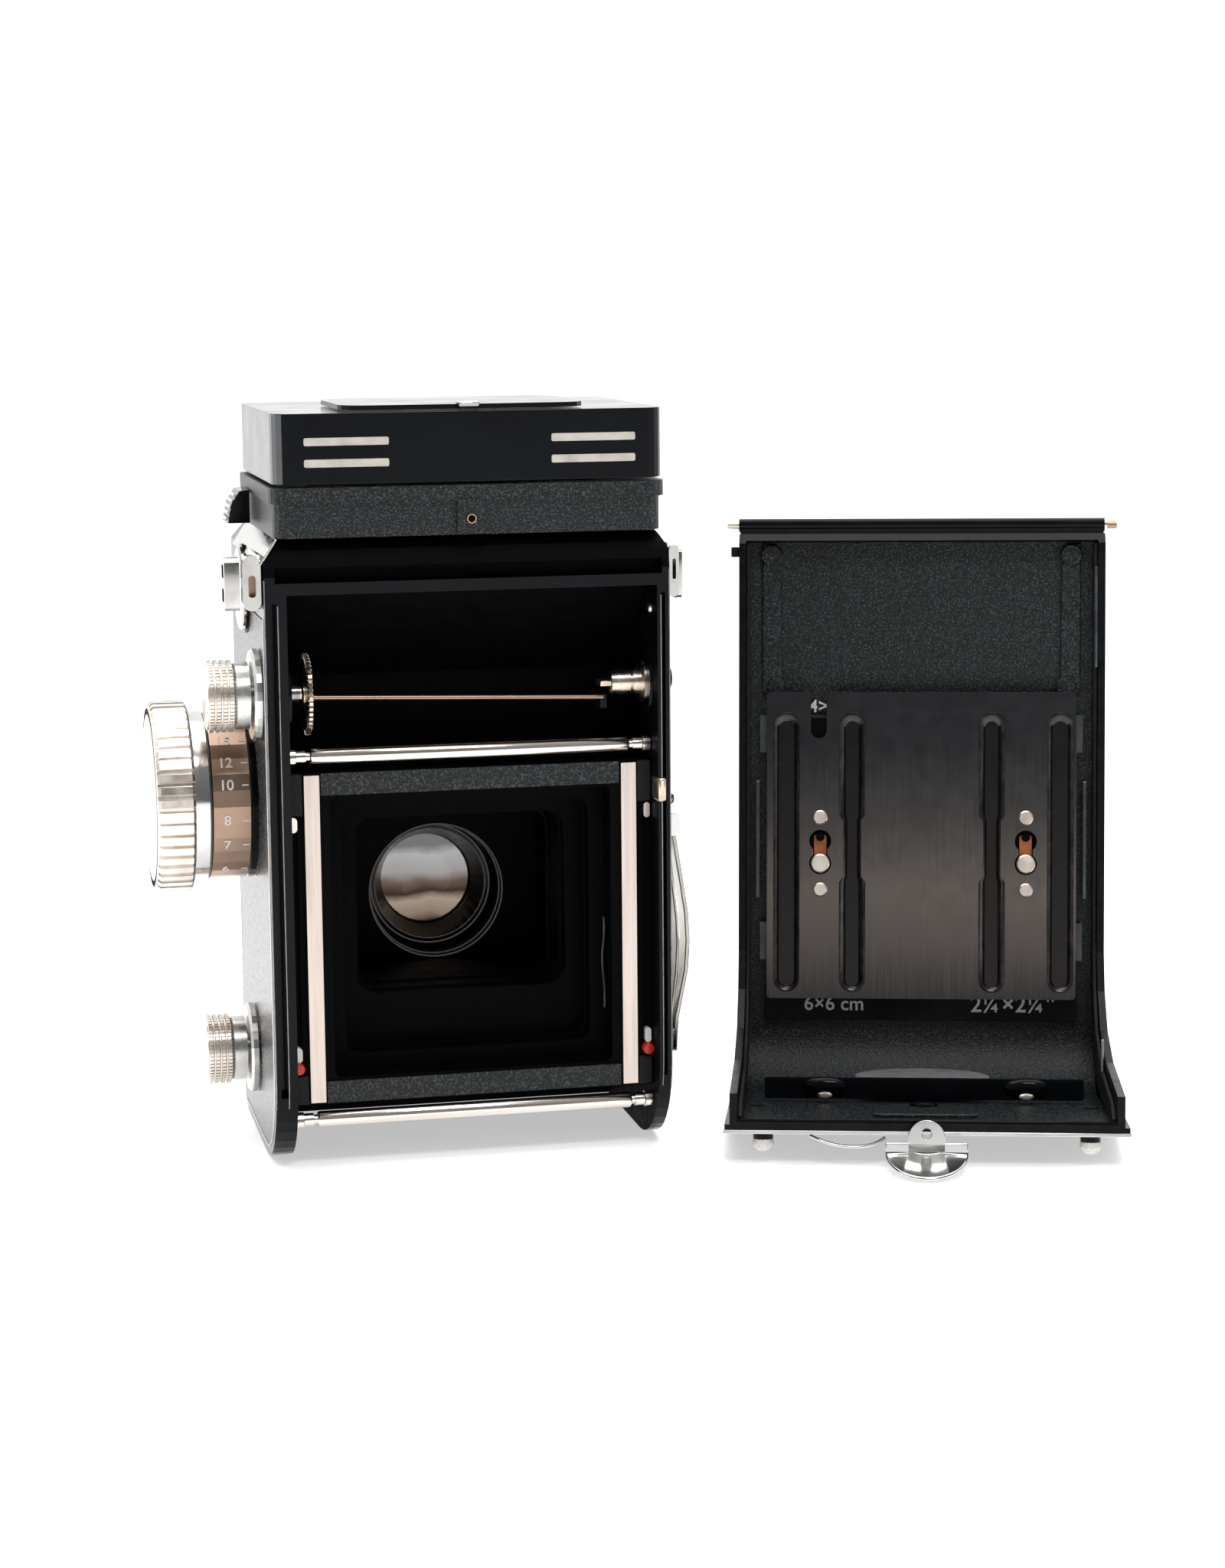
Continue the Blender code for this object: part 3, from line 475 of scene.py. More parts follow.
LOOKS = {
    "enamel": ("body_shell", "focus_base_ring", "counter_dome", "hood_lid", "sports_finder_flap",
               "hood_side_left", "hood_side_right", "hood_rear_flap", "hood_lock_lever",
               "lens_board", "taking_lens_barrel", "viewing_lens_barrel", "hinge_barrel",
               "spool_spring"),
    "sheet": ("back_shell",),
    "matte": ("guard_rod",),
    "chamber": ("film_gate",),
    "wrinkle": ("finder_frame", "back_lining"),
    "leather": ("leather_left", "leather_right"),
    "roller": ("upper_film_roller", "lower_film_roller", "upper_bushing_left", "upper_bushing_right",
               "lower_bushing_left", "lower_bushing_right"),
    "chrome": ("back_latch", "shutter_release"),
    "lug": ("strap_clip_left", "strap_clip_right", "strap_lug_left", "strap_lug_right"),
    "arm": ("crank_arm", "crank_handle"),
    "satin_chrome": ("upper_knob_plate", "lower_knob_plate", "upper_spool_knob",
                     "lower_spool_knob", "focus_knob_rim", "crank_hub", "aperture_wheel",
                     "speed_wheel"),
    "rail": ("film_rail_left", "film_rail_right"),
    "nickel": ("brake_wheel", "drive_key", "tripod_boss", "hinge_pin"),
    "bronze": ("focus_scale_drum",),
    "gunmetal": ("pressure_plate",),
    "steel_dark": ("plate_carrier",),
    "clear_glass": ("focusing_screen", "magnifier", "taking_front_glass", "viewing_lens_glass"),
    "painted_reflection_glass": ("taking_rear_glass",),
    "mirror": ("reflex_mirror",),
}
ROUND_NODES = {"wrinkle", "chrome", "lug", "roller", "sheet", "arm", "satin_chrome", "nickel", "bronze",
               "clear_glass", "painted_reflection_glass", "enamel"}


def dress_frame():
    """Give every CAD node its finish, with smooth shading where it is round.

    Three nodes have a second finish: dull black inside the shell, leather outside the
    back, and a glossier left side on the hood, whose lighter colour is painted light.
    """
    for look, names in LOOKS.items():
        for name in names:
            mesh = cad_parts[name].data
            mesh.materials.clear()
            mesh.materials.append(FINISHES[look])
            if look in ROUND_NODES:
                mesh.shade_smooth()
                mesh.set_sharp_from_angle(angle=math.radians(SMOOTH_ANGLE))
    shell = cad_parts["body_shell"]
    shell.data.materials.append(FINISHES["chamber"])
    to_gate = CAMERA.inverted() @ shell.matrix_world
    for face in shell.data.polygons:
        point = to_gate @ face.center / MM
        if all(low < value < high for value, (low, high) in zip(point, SHELL_INSIDE)):
            face.material_index = 1
    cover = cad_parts["back_shell"]
    cover.data.materials.append(FINISHES["leather_black"])
    to_hinge = BACK.inverted() @ cover.matrix_world
    for face in cover.data.polygons:
        normal = to_hinge.to_3x3() @ face.normal
        if normal.y < -0.3 and (to_hinge @ face.center).y < 8.0 * MM:
            face.material_index = 1
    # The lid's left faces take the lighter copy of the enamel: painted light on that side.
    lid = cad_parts["hood_lid"].data
    lid.materials.append(FINISHES["hood_side_painted_light"])
    for face in lid.polygons:
        if face.normal.x < -0.6:
            face.material_index = 1


# ------------------------------------------------------------- camera details

def hood_details():
    hood = Maker(CAMERA, "hood", "hood_lid")
    for tag, x0, x1 in (("left", -32.4, -16.1), ("right", 15.5, 32.0)):
        for row, z0, z1 in (("upper", 96.9, 98.4), ("lower", 92.8, 94.3)):
            hood.flat("hood_stripe_" + row + "_" + tag, "Y", [rounded(x0, x1, z0, z1, 0.35)],
                      -7.55, -7.2, "stripe", edge=0.08)
    rim = Maker(CAMERA, "sports_flap", "sports_finder_flap")
    rim.box("flap_catch", (-2.1, -5.0, 103.5), (2.0, -2.8, 104.7), "chrome", edge=0.3)
    base = Maker(CAMERA, "camera", "finder_frame")
    base.lathe("frame_screw_ring", "-Y", (-0.3, 0, 82.4), [(7.5, 0.65), (7.65, 0.72), (7.65, 0.92),
                                                         (7.4, 1.0), (7.2, 1.0)], "brass", steps=24)
    base.lathe("frame_screw", "-Y", (-0.3, 0, 82.4), [(7.5, 0.0), (7.5, 0.65), (7.2, 0.65)],
               "chamber", steps=24)
    lever = Maker(CAMERA, "hood_lock", "hood_lock_lever")
    for index in range(5):
        z = 80.9 + index * 1.15
        x = -43.75 + 0.42 * index
        lever.tube("lock_serration_%d" % index, [(x, 27.4, z), (x, 32.5, z), (x, 37.6, z)], 0.34,
                   "satin_chrome")


def shoulder_details():
    side = Maker(CAMERA, "camera", "strap_lug_left")
    slope = [(-37.7, 79.25), (-38.1, 79.3), (-41.2, 74.6), (-40.75, 74.5)]
    side.flat("shoulder_plate", "Y", [slope], -6.2, 44.0, "lug", edge=0.1)
    arch = rounded(-44.4, -40.9, 65.6, 76.2, 1.7)
    slit = rounded(-43.3, -41.9, 68.2, 72.4, 0.6)
    side.flat("lug_arch_left", "Y", [arch, slit], -5.4, -2.2, "lug", edge=0.4,
              replaces=("strap_lug_left",))
    side.flat("lug_base_left", "X", [rounded(-5.0, 11.0, 65.6, 76.4, 2.5)], -41.5, -40.9, "lug")
    side.lathe("lug_post_left", "-X", (0, 0.5, 71.0), [(43.9, 0.0), (43.9, 1.8), (41.5, 1.8)],
               "steel_dark", steps=24)
    side.box("lug_slit_back_left", (-43.4, -2.2, 68.0), (-41.8, -1.6, 72.6), "bronze", edge=0.05)
    side.lathe("side_disc", "-X", (0, 27.0, 67.0), [(42.0, 0.0), (42.0, 8.0), (41.6, 8.4),
                                                    (40.9, 8.5)], "lug")
    # A black ring round the side disc: painted shade along its rim.
    side.lathe("side_disc_shade_ring", "-X", (0, 27.0, 67.0), [(41.2, 8.5), (41.2, 8.9), (40.7, 9.0)],
               "enamel")
    clip = Maker(CAMERA, "clip_left", "strap_clip_left")
    clip.flat("clip_block_left", "X", [rounded(-2.8, 3.8, 65.4, 75.6, 1.4),
                                       rounded(-1.2, 2.2, 67.0, 69.6, 0.5),
                                       rounded(-1.2, 2.2, 71.6, 74.2, 0.5)],
              -47.6, -44.7, "lug", edge=0.35, replaces=("strap_clip_left",))
    right = Maker(CAMERA, "camera", "strap_lug_right")
    right.flat("lug_arch_right", "Y", [rounded(39.1, 41.1, 66.0, 76.0, 0.9),
                                       rounded(39.8, 40.5, 69.4, 73.4, 0.3)], -5.4, -2.4, "lug",
               edge=0.4, replaces=("strap_lug_right",))
    right.flat("lug_base_right", "X", [rounded(-5.0, 11.0, 65.6, 76.4, 2.5)], 39.1, 39.7, "lug")
    right.lathe("lug_post_right", "+X", (0, 0.5, 71.0), [(41.2, 0.0), (41.2, 1.8), (39.7, 1.8)],
                "steel_dark", steps=24)
    ring = Maker(CAMERA, "clip_right", "strap_clip_right")
    ring.flat("clip_block_right", "X", [rounded(-2.8, 3.8, 65.2, 75.4, 1.6),
                                        rounded(-1.0, 2.0, 70.6, 73.6, 0.5)],
              41.4, 42.4, "lug", edge=0.35, replaces=("strap_clip_right",))
    for index, z in enumerate((66.3, 67.9)):
        ring.tube("clip_rib_%d" % index, [(42.3, -2.2, z), (42.3, 0.5, z), (42.3, 3.2, z)], 0.4,
                  "satin_chrome")


def knob_details():
    for tag, (y, z), span in (("upper", SPOOL_AXIS, 51.2), ("lower", FEED_AXIS, 51.0)):
        knob = Maker(CAMERA, tag + "_knob", tag + "_spool_knob")
        rings = [(45.9, 6.1, 6.1), (46.1, 6.5, 6.7)]
        bands = 4
        width = (span - 46.1) / bands
        for band in range(bands):
            start = 46.1 + band * width
            rings += [(start + 0.2, 6.75, 7.1), (start + width - 0.35, 6.75, 7.1),
                      (start + width - 0.25, 6.5, 6.5), (start + width - 0.02, 6.5, 6.5)]
        rings += [(span + 0.2, 5.8, 5.8)]
        mesh = fluted_mesh(tag + "_knob_knurl", "-X", (0, y, z), rings, 56)
        knob.add(tag + "_knob_knurl", mesh, "knurl", sharp=20.0, replaces=(tag + "_spool_knob",))
        knob.lathe(tag + "_knob_collar", "-X", (0, y, z),
                   [(45.9, 0.0), (45.9, 6.3), (45.6, 6.6), (43.0, 6.6), (43.0, 2.9), (36.9, 2.9),
                    (36.9, 1.7), (33.0, 1.7), (33.0, 0.0)], "satin_chrome")


def on_drum(angle):
    """The place of a mark on the scale drum, turned about the knob's axis."""
    return (shift(0, *FOCUS_AXIS) @ Matrix.Rotation(math.radians(angle), 4, "X")
            @ shift(-47.2, -DRUM_RADIUS - 0.02, 0))


def focus_details():
    y, z = FOCUS_AXIS
    knob = Maker(CAMERA, "focus_knob", "focus_knob_rim")
    rings = [(53.3, 17.4, 17.4), (53.5, 18.3, 18.6), (54.0, 18.55, 19.3), (60.2, 18.55, 19.3),
             (60.8, 18.4, 18.8), (61.0, 17.9, 17.9)]
    mesh = fluted_mesh("focus_rim", "-X", (0, y, z), rings, 48, capped=False)
    knob.add("focus_rim", mesh, "knurl", sharp=20.0, replaces=("focus_knob_rim",))
    knob.lathe("focus_lip", "-X", (0, y, z),
               [(61.0, 17.9), (60.7, 17.7), (60.7, 16.9), (61.0, 16.7)], "chamber")
    knob.lathe("focus_ring", "-X", (0, y, z), [(53.4, 17.4), (50.6, 17.4), (50.2, 17.1), (50.0, 0.0)],
               "chrome")
    knob.lathe("focus_face", "-X", (0, y, z), [(61.0, 16.7), (61.1, 16.4), (61.0, 0.0)], "satin_chrome")
    drum = Maker(CAMERA, "focus_knob", "focus_scale_drum")
    marks = ((48.0, "15"), (30.5, "12"), (14.8, "10"), (-9.4, "8"), (-28.1, "7"), (-54.0, "6"))
    for angle, words in marks:
        turn = on_drum(-angle)
        mesh = text_mesh("scale_" + words, words, 2.9, 0.16)
        mesh.transform(turn)
        drum.add("scale_" + words, mesh, "ink")
        tick = box_mesh("tick_" + words, (3.1, -0.06, -0.14), (4.3, 0.08, 0.14))
        tick.transform(turn)
        drum.add("tick_" + words, tick, "ink")
    dot = box_mesh("scale_dot", (3.3, -0.06, -0.2), (4.2, 0.08, 0.2))
    dot.transform(on_drum(66.0))
    drum.add("scale_dot", dot, "ink")


def crank_details():
    y, z = CRANK_AXIS
    arm = Maker(CAMERA, "crank_fold", "crank_arm")
    outer = [(44.9, z - 1.0), (45.7, 11.0), (46.8, 4.0), (47.7, -2.0), (48.0, -8.0), (47.6, -14.0),
             (46.6, -19.0), (45.6, -24.0), (45.3, -27.5), (45.2, -30.6)]
    inner = [(44.0, z - 1.0), (44.3, 10.0), (45.0, 3.0), (45.7, -3.0), (45.9, -8.0), (45.6, -14.0),
             (44.9, -20.0), (44.5, -24.0), (44.4, -30.6)]
    for name, spine, depth in (("crank_strip_outer", outer, 0.9), ("crank_strip_inner", inner, 0.6)):
        left = [(u - depth / 2, v) for u, v in spine]
        right = [(u + depth / 2, v) for u, v in spine]
        replaced = ("crank_arm",) if name == "crank_strip_outer" else ()
        arm.flat(name, "Y", [left + right[::-1]], y - 2.9, y + 2.9, "arm", edge=0.2,
                 replaces=replaced)
    arm.lathe("crank_pin", "-Y", (44.2, y, z), [(3.0, 0.0), (3.0, 1.0), (2.8, 1.5), (-2.8, 1.5),
                                               (-3.0, 0.0)], "arm", steps=32)
    arm.box("crank_end", (43.9, y - 2.9, -31.2), (45.7, y + 2.9, -26.4), "arm", edge=0.4)
    hub = Maker(CAMERA, "crank", "crank_hub")
    hub.lathe("crank_ball", "+X", (0, y, z + 4.6), [(46.0, 0.0), (45.8, 0.8), (45.2, 1.3), (44.4, 1.4),
                                                   (43.6, 1.1), (43.0, 0.9), (41.2, 0.9)],
              "arm", steps=32)


def roller_details():
    for tag, z in (("upper", ROLLER_Z), ("lower", -ROLLER_Z)):
        roller = Maker(CAMERA, tag + "_roller", tag + "_film_roller")
        roller.lathe(tag + "_roller_bar", "+X", (0, 0.2, z),
                     [(31.8, 0.0), (31.8, 1.35), (31.4, 1.6), (-31.4, 1.6), (-31.8, 1.35), (-31.8, 0.0)],
                     "roller", replaces=(tag + "_film_roller",))
        for side, axis in (("left", "-X"), ("right", "+X")):
            roller.lathe("%s_roller_end_%s" % (tag, side), axis, (0, 0.2, z),
                         [(36.0, 0.0), (36.0, 0.9), (34.6, 0.9), (34.5, 1.3), (32.6, 1.3), (32.5, 0.95),
                          (31.8, 0.95)], "roller", steps=40)


def chamber_details():
    y, z = SPOOL_AXIS
    stub = Maker(CAMERA, "upper_knob", "upper_spool_knob")
    stub.lathe("spool_stub", "-X", (0, y, z), [(36.6, 0.0), (36.6, 3.4), (36.2, 3.4), (36.2, 1.7),
                                             (32.6, 1.7), (32.4, 1.4), (32.4, 0.0)], "nickel")
    brake = Maker(CAMERA, "brake", "brake_wheel")
    mesh = fluted_mesh("brake_teeth", "-X", (0, y, z - 0.2),
                       [(31.0, 7.0, 7.5), (31.2, 7.1, 8.0), (31.9, 7.1, 8.0), (32.1, 7.0, 7.5)], 46)
    brake.add("brake_teeth", mesh, "nickel", sharp=20.0, replaces=("brake_wheel",))
    brake.lathe("brake_hub", "-X", (0, y, z - 0.2), [(32.3, 0.0), (32.3, 2.4), (30.7, 2.4),
                                                    (30.6, 0.0)], "nickel", steps=32)
    rod = Maker(CAMERA, "camera", "guard_rod")
    rod.tube("guard_rod_bar", [(-30.4, y, 47.3), (-1.5, y, 46.3), (27.8, y, 45.3)], 0.5, "bronze")
    rod.box("guard_rod_bracket", (27.2, 4.4, 43.0), (28.6, 21.6, 46.0), "matte", edge=0.2,
            replaces=("guard_rod",))
    key = Maker(CAMERA, "takeup_key", "drive_key")
    key.lathe("key_drum", "+X", (0, y, z), [(36.0, 0.0), (36.0, 4.2), (35.4, 4.2), (35.2, 2.6),
                                          (33.6, 2.5), (33.6, 2.2), (33.0, 2.2), (33.0, 2.5),
                                          (29.2, 2.4), (28.9, 2.0), (28.9, 0.0)], "nickel",
              replaces=("drive_key",))
    key.box("key_blade", (26.8, y - 2.1, z - 0.55), (29.2, y + 2.1, z + 0.55), "nickel")
    wall = Maker(CAMERA, "camera", "body_shell")
    wall.lathe("chamber_screw", "+X", (0, -1.0, 63.5), [(35.7, 0.0), (35.8, 0.9), (36.3, 1.1)], "nickel",
               steps=24)
    wall.lathe("chamber_boss", "+X", (0, y, z), [(35.9, 0.0), (35.9, 6.6), (36.3, 6.9)], "enamel")
    wall.lathe("wheel_boss", "-X", (0, y, z), [(35.2, 0.0), (35.2, 7.4), (36.3, 7.8)], "enamel")


def gate_details():
    gate = Maker(CAMERA, "camera", "film_gate")
    for tag, sign in (("left", -1), ("right", 1)):
        x = sign * 35.35
        half = 0.8 if sign < 0 else 0.62
        low, high = x - half, x + half
        for row, z in (("upper", 23.0), ("lower", -23.0)):
            gate.flat("film_mark_%s_%s" % (row, tag), "Y",
                      [rounded(low, high, z - 1.5, z + 1.5, half - 0.02)],
                      -0.7, 0.9, "white" if row == "lower" else "rivet", edge=0.2)
        gate.lathe("red_dot_" + tag, "-Y", (x, 0, -25.7), [(1.7, 0.0), (1.6, 1.0), (1.2, 1.2),
                                                         (-0.9, 1.2)], "red", steps=32)
        for row, z0, z1 in (("upper", 24.8, 33.0), ("lower", -33.0, -27.2)):
            gate.box("channel_block_%s_%s" % (row, tag), (min(sign * 33.4, sign * 36.2), -0.9, z0),
                     (max(sign * 33.4, sign * 36.2), 0.9, z1), "matte", edge=0.25)
    gate.box("film_feeler", (36.0, -8.2, 25.6), (37.7, -2.0, 30.4), "nickel", edge=0.5)
    for tag, low, high in (("top", 28.6, 33.0), ("bottom", -33.0, -28.6)):
        gate.box("gate_bar_" + tag, (-29.8, -0.6, low), (29.8, -0.05, high), "wrinkle", edge=0.1)
    baffle = Maker(CAMERA, "camera", "body_shell")
    for index, (half, depth) in enumerate(((24.4, 10.0), (20.8, 17.0), (19.6, 24.0))):
        low = -half if index == 0 else max(-half, -14.2)
        baffle.flat("baffle_%d" % index, "Y", [rounded(-half - 0.5, half + 0.5, low - 0.3, half + 0.5, 3.0),
                                               rounded(-half, half, low, half, 3.0)],
                    depth, depth + 0.5, "chamber", edge=0.0)
    wall = [(27.0, 1.5, 1.0), (27.6, 3.5, -3.0), (27.2, 5.0, -8.0), (27.5, 3.0, -14.0),
            (27.0, 1.5, -17.5)]
    gate.tube("wall_spring", [(x, y + 0.8, z) for x, y, z in wall], 0.25, "steel_dark")


def lens_details():
    """Rear of the taking lens, seen down the light box."""
    lens = Maker(CAMERA, "lens_standard", "taking_lens_barrel")
    lens.lathe("rear_cell", "-Y", (0, 0, 0),
               [(-52.0, 14.6), (-52.0, 14.2), (-53.4, 13.9), (-53.4, 12.6), (-55.2, 12.3),
                (-55.2, 11.5), (-57.6, 11.2), (-57.6, 10.6), (-58.7, 9.9), (-59.9, 9.6)],
               "chamber")
    # The ring edges take the glowing finish: painted highlight on the lens rings.
    ring_edges = ((44.8, 14.2), (46.6, 13.9), (52.8, 12.8), (53.0, 11.9), (58.6, 10.1))
    for index, (depth, radius) in enumerate(ring_edges):
        lens.lathe("rear_ring_%d" % index, "-Y", (0, 0, 0),
                   [(-depth - 0.1, radius - 0.16), (-depth + 0.14, radius), (-depth - 0.1, radius + 0.16)],
                   "painted_glow")
    for tag, z in (("taking", 0.0), ("viewing", 43.0)):
        front = Maker(CAMERA, "lens_standard", tag + "_lens_barrel")
        tip = 78.0 if tag == "taking" else 75.0
        front.lathe(tag + "_bayonet", "+Y", (0, 0, z),
                    [(tip - 3.4, 18.2), (tip - 3.2, 18.5), (tip - 0.6, 18.5), (tip + 0.1, 17.8),
                     (tip + 0.1, 15.8), (tip - 0.4, 15.6)], "chrome")
        for index in range(4):
            depth = tip - 5.0 - index * 3.0
            front.lathe("%s_ring_%d" % (tag, index), "+Y", (0, 0, z),
                        [(depth, 13.3), (depth - 0.4, 13.0 - 0.4 * index), (depth - 0.8, 13.3)],
                        "matte")
    board = Maker(CAMERA, "lens_standard", "lens_board")
    board.flat("lens_board_leather", "Y", [rounded(-32.3, 31.3, -29.8, 65.8, 6.0)]
               + [arc(0, z, 18.6, 0, 348.75, 31) for z in (0.0, 43.0)]
               + [arc(x, 21.5, 7.4, 0, 345, 23) for x in (-22.5, 21.5)]
               + [arc(25.5, -24.0, 4.4, 0, 345, 23)], 57.45, 57.75, "leather_black", edge=0.0)


def body_details():
    trim = Maker(CAMERA, "camera", "body_shell")
    for tag, x in (("left", BODY_LEFT - 0.05), ("right", BODY_RIGHT + 0.05)):
        bend = [(x, y, z) for y, z in arc(12.6, -26.5, 17.3, 180, 270, 12)]
        trim.tube("leather_trim_" + tag, [(x, -4.7, 64.0), (x, -4.7, 10.0)] + bend
                  + [(x, 30.0, -43.8), (x, 49.0, -43.8)], 0.15, "satin_chrome")
    # Thin light tubes along the flange edges: painted highlight where the rounded edges would catch light.
    for index, (x, top) in enumerate(((-40.55, 71.5), (-38.05, 66.6), (37.05, 66.6), (38.75, 71.5))):
        trim.tube("painted_edge_highlight_%d" % index, [(x, -6.95, top), (x, -6.95, 20.0), (x, -6.95, -26.5),
                                             (x, -6.8, -29.2), (x, -6.05, -32.2)], 0.13, "edge_glint")
    trim.flat("front_leather", "Y", [rounded(-36.5, 35.5, -43.0, -32.5, 1.5)], 51.9, 52.3, "leather_black")


# --------------------------------------------------------------- back details

def lining_outline():
    """Inner face of the wall, corner and floor, a little way in front of the sheet."""
    centre_y, centre_z = BACK_CORNER - 3.0, BACK_FLOOR + BACK_CORNER
    near, far = BACK_CORNER - 1.75, BACK_CORNER - 2.3
    inner = ([(centre_y - near, -3.6)] + arc(centre_y, centre_z, near, 180, 270, 16)
             + [(57.2, centre_z - near)])
    outer = ([(57.2, centre_z - far)] + arc(centre_y, centre_z, far, 270, 180, 16)
             + [(centre_y - far, -3.6)])
    return inner + outer


def back_details():
    back = Maker(BACK, "back", "back_lining")
    back.flat("back_lining_sheet", "X", [lining_outline()], -36.9, 36.9, "wrinkle", edge=0.0,
              replaces=("back_lining",))
    for tag, sign in (("left", 1), ("right", -1)):
        strip = [(sign * 33.9, -3.9), (sign * 33.9, -36.0), (sign * 30.6, -36.0), (sign * 29.6, -33.6),
                 (sign * 29.9, -9.0), (sign * 31.0, -3.9)]
        back.flat("lining_border_" + tag, "Y", [strip], -0.7, 0.5, "wrinkle", edge=0.3)
        back.lathe("lining_ear_" + tag, "+Y", (sign * 31.9, 0, -6.5), [(1.0, 0.0), (1.0, 2.1), (0.7, 2.4),
                                                                     (-0.7, 2.4)], "wrinkle", steps=32)
        back.lathe("lining_lug_" + tag, "+Y", (sign * 30.8, 0, -34.7),
                   [(0.9, 0.0), (0.9, 1.9), (0.6, 2.2), (-0.7, 2.2)], "wrinkle", steps=32)
        back.flat("flange_ledge_" + tag, "X",
                  [[(-1.2, -4.0), (3.2, -4.0), (3.4, -88.0), (5.4, -98.0), (12.0, -107.0), (26.0, -113.2),
                    (53.0, -117.2), (57.0, -119.6), (57.0, -120.6), (30.0, -119.5), (12.0, -115.0),
                    (4.0, -108.0), (-1.2, -98.0)]],
                  *sorted((sign * 36.4, sign * 37.2)), "matte", edge=0.15)
        back.flat("carrier_spring_" + tag, "X", [rounded(0.6, 2.0, -80.0, -54.5, 0.6)],
                  *sorted((sign * 34.4, sign * 35.1)), "steel_dark")
        # Thin black patches for the floor slots: painted shade where the openings are.
        back.box("floor_slot_shade_" + tag, (sign * 34.0 - 1.6, 33.2, -120.62), (sign * 34.0 + 1.6, 34.8, -120.45),
                 "chamber", edge=0.0)
        foot = [(126.8, 0.0), (126.6, 1.0), (126.0, 1.75), (125.3, 2.15), (124.5, 2.1), (123.9, 1.85),
                (122.9, 1.85)]
        back.lathe("foot_" + tag, "-Z", (sign * 32.2, 56.4, 0), foot, "ink", steps=40)
    marks = Maker(BACK, "back", "back_lining")
    marks.box("format_strip", (-33.2, -0.3, -106.0), (33.2, 1.0, -99.0), "enamel", edge=0.1)
    flip = Matrix.Rotation(math.pi, 4, "Z")
    for name, words, x, size in (("format_cm", "6×6 cm", 18.4, 4.2),
                                 ("format_inch", "2¼×2¼″", -19.8, 4.9)):
        mesh = text_mesh(name, words, size, 0.14)
        mesh.transform(shift(x, 1.12, -102.6) @ flip)
        marks.add(name, mesh, "ink")
    mesh = text_mesh("format_arrow", "4>", 3.8, 0.14)
    mesh.transform(shift(21.8, 0.9, -38.8) @ flip)
    marks.add("format_arrow", mesh, "ink")


def channel(cx, half, waist, top, low):
    """Outline of one pressed channel in the pressure plate, waisted where the rivets are."""
    points = arc(cx, top - half, half, 0, 180, 10)
    side = [] if waist is None else [(-half, -61.9), (-waist, -63.1), (-waist, -75.0), (-half, -76.2)]
    points += [(cx + u, v) for u, v in side]
    points += arc(cx, low + half, half, 180, 360, 10)
    points += [(cx - u, v) for u, v in side[::-1]]
    return points


def trough_mesh(name, outer, inner, front, floor):
    """A tray between two outlines: a sloping wall down to a flat bottom."""
    bm = bmesh.new()
    rings = [[bm.verts.new((u * MM, depth * MM, v * MM)) for u, v in loop]
             for loop, depth in ((outer, front), (inner, floor))]
    count = len(outer)
    for i in range(count):
        j = (i + 1) % count
        bm.faces.new((rings[0][i], rings[0][j], rings[1][j], rings[1][i]))
    bm.faces.new(rings[1])
    return clean_mesh(name, bm)


def plate_details():
    plate = Maker(BACK, "plate", "pressure_plate")
    notch = [(23.4, -35.7)] + arc(21.75, -43.9, 1.65, 360, 180, 10) + [(20.1, -35.7)]
    outline = (arc(32.0, -36.5, 0.8, 0, 90, 6) + notch + arc(-32.0, -36.5, 0.8, 90, 180, 6)
               + arc(-32.0, -100.3, 0.8, 180, 270, 6) + arc(32.0, -100.3, 0.8, 270, 360, 6))
    channels = [(28.6, 1.65, None), (14.6, 1.38, 1.05), (-15.0, 1.38, 1.05), (-29.5, 1.65, None)]
    rims = [channel(cx, 2.8, None if waist is None else 1.9, -39.9, -99.8) for cx, half, waist in channels]
    holes = list(rims)
    for x in (21.4, -22.2):
        holes.append(arc(x, -67.4, 2.35, -50, 230, 14) + arc(x, -72.2, 2.35, 130, 410, 14))
    plate.flat("pressure_plate_face", "Y", [outline] + holes, 3.9, 4.5, "gunmetal", edge=0.16,
               replaces=("pressure_plate",))
    # Channel walls and floors take darker copies of the plate metal: painted shade in the recesses.
    for index, (cx, half, waist) in enumerate(channels):
        inner = channel(cx, half, waist, -41.9, -98.6)
        tray = trough_mesh("channel_%d" % index, rims[index], inner, 4.45, 2.5)
        thicken(plate.add("channel_%d" % index, tray, "channel", sharp=50.0), 0.25)
        plate.flat("channel_floor_%d" % index, "Y", [inner], 2.4, 2.75, "trough", edge=0.0)
    # Black sheets behind the notch and keyholes: painted shade in the openings.
    plate.box("notch_painted_shade", (19.9, 3.5, -45.8), (23.6, 3.75, -41.2), "chamber", edge=0.0)
    for tag, x in (("left", 21.4), ("right", -22.2)):
        plate.box("keyhole_painted_shade_" + tag, (x - 2.6, 2.9, -75.0), (x + 2.6, 3.2, -64.6), "chamber", edge=0.0)
        plate.flat("keyhole_amber_" + tag, "Y", [rounded(x - 1.3, x + 1.3, -70.6, -66.2, 0.4)], 3.2, 3.4,
                   "amber", edge=0.0)
        plate.lathe("keyhole_pin_" + tag, "+Y", (x, 0, -66.6), [(4.2, 0.0), (4.2, 0.9), (3.3, 0.9)],
                    "chamber", steps=24)
        for row, z, radius in (("top", -62.4, 1.55), ("middle", -72.2, 2.0), ("low", -77.8, 1.5)):
            plate.lathe("rivet_%s_%s" % (row, tag), "+Y", (x, 0, z),
                        [(5.0, 0.0), (5.0, radius - 0.25), (4.75, radius), (3.4, radius)],
                        "rivet", steps=40)


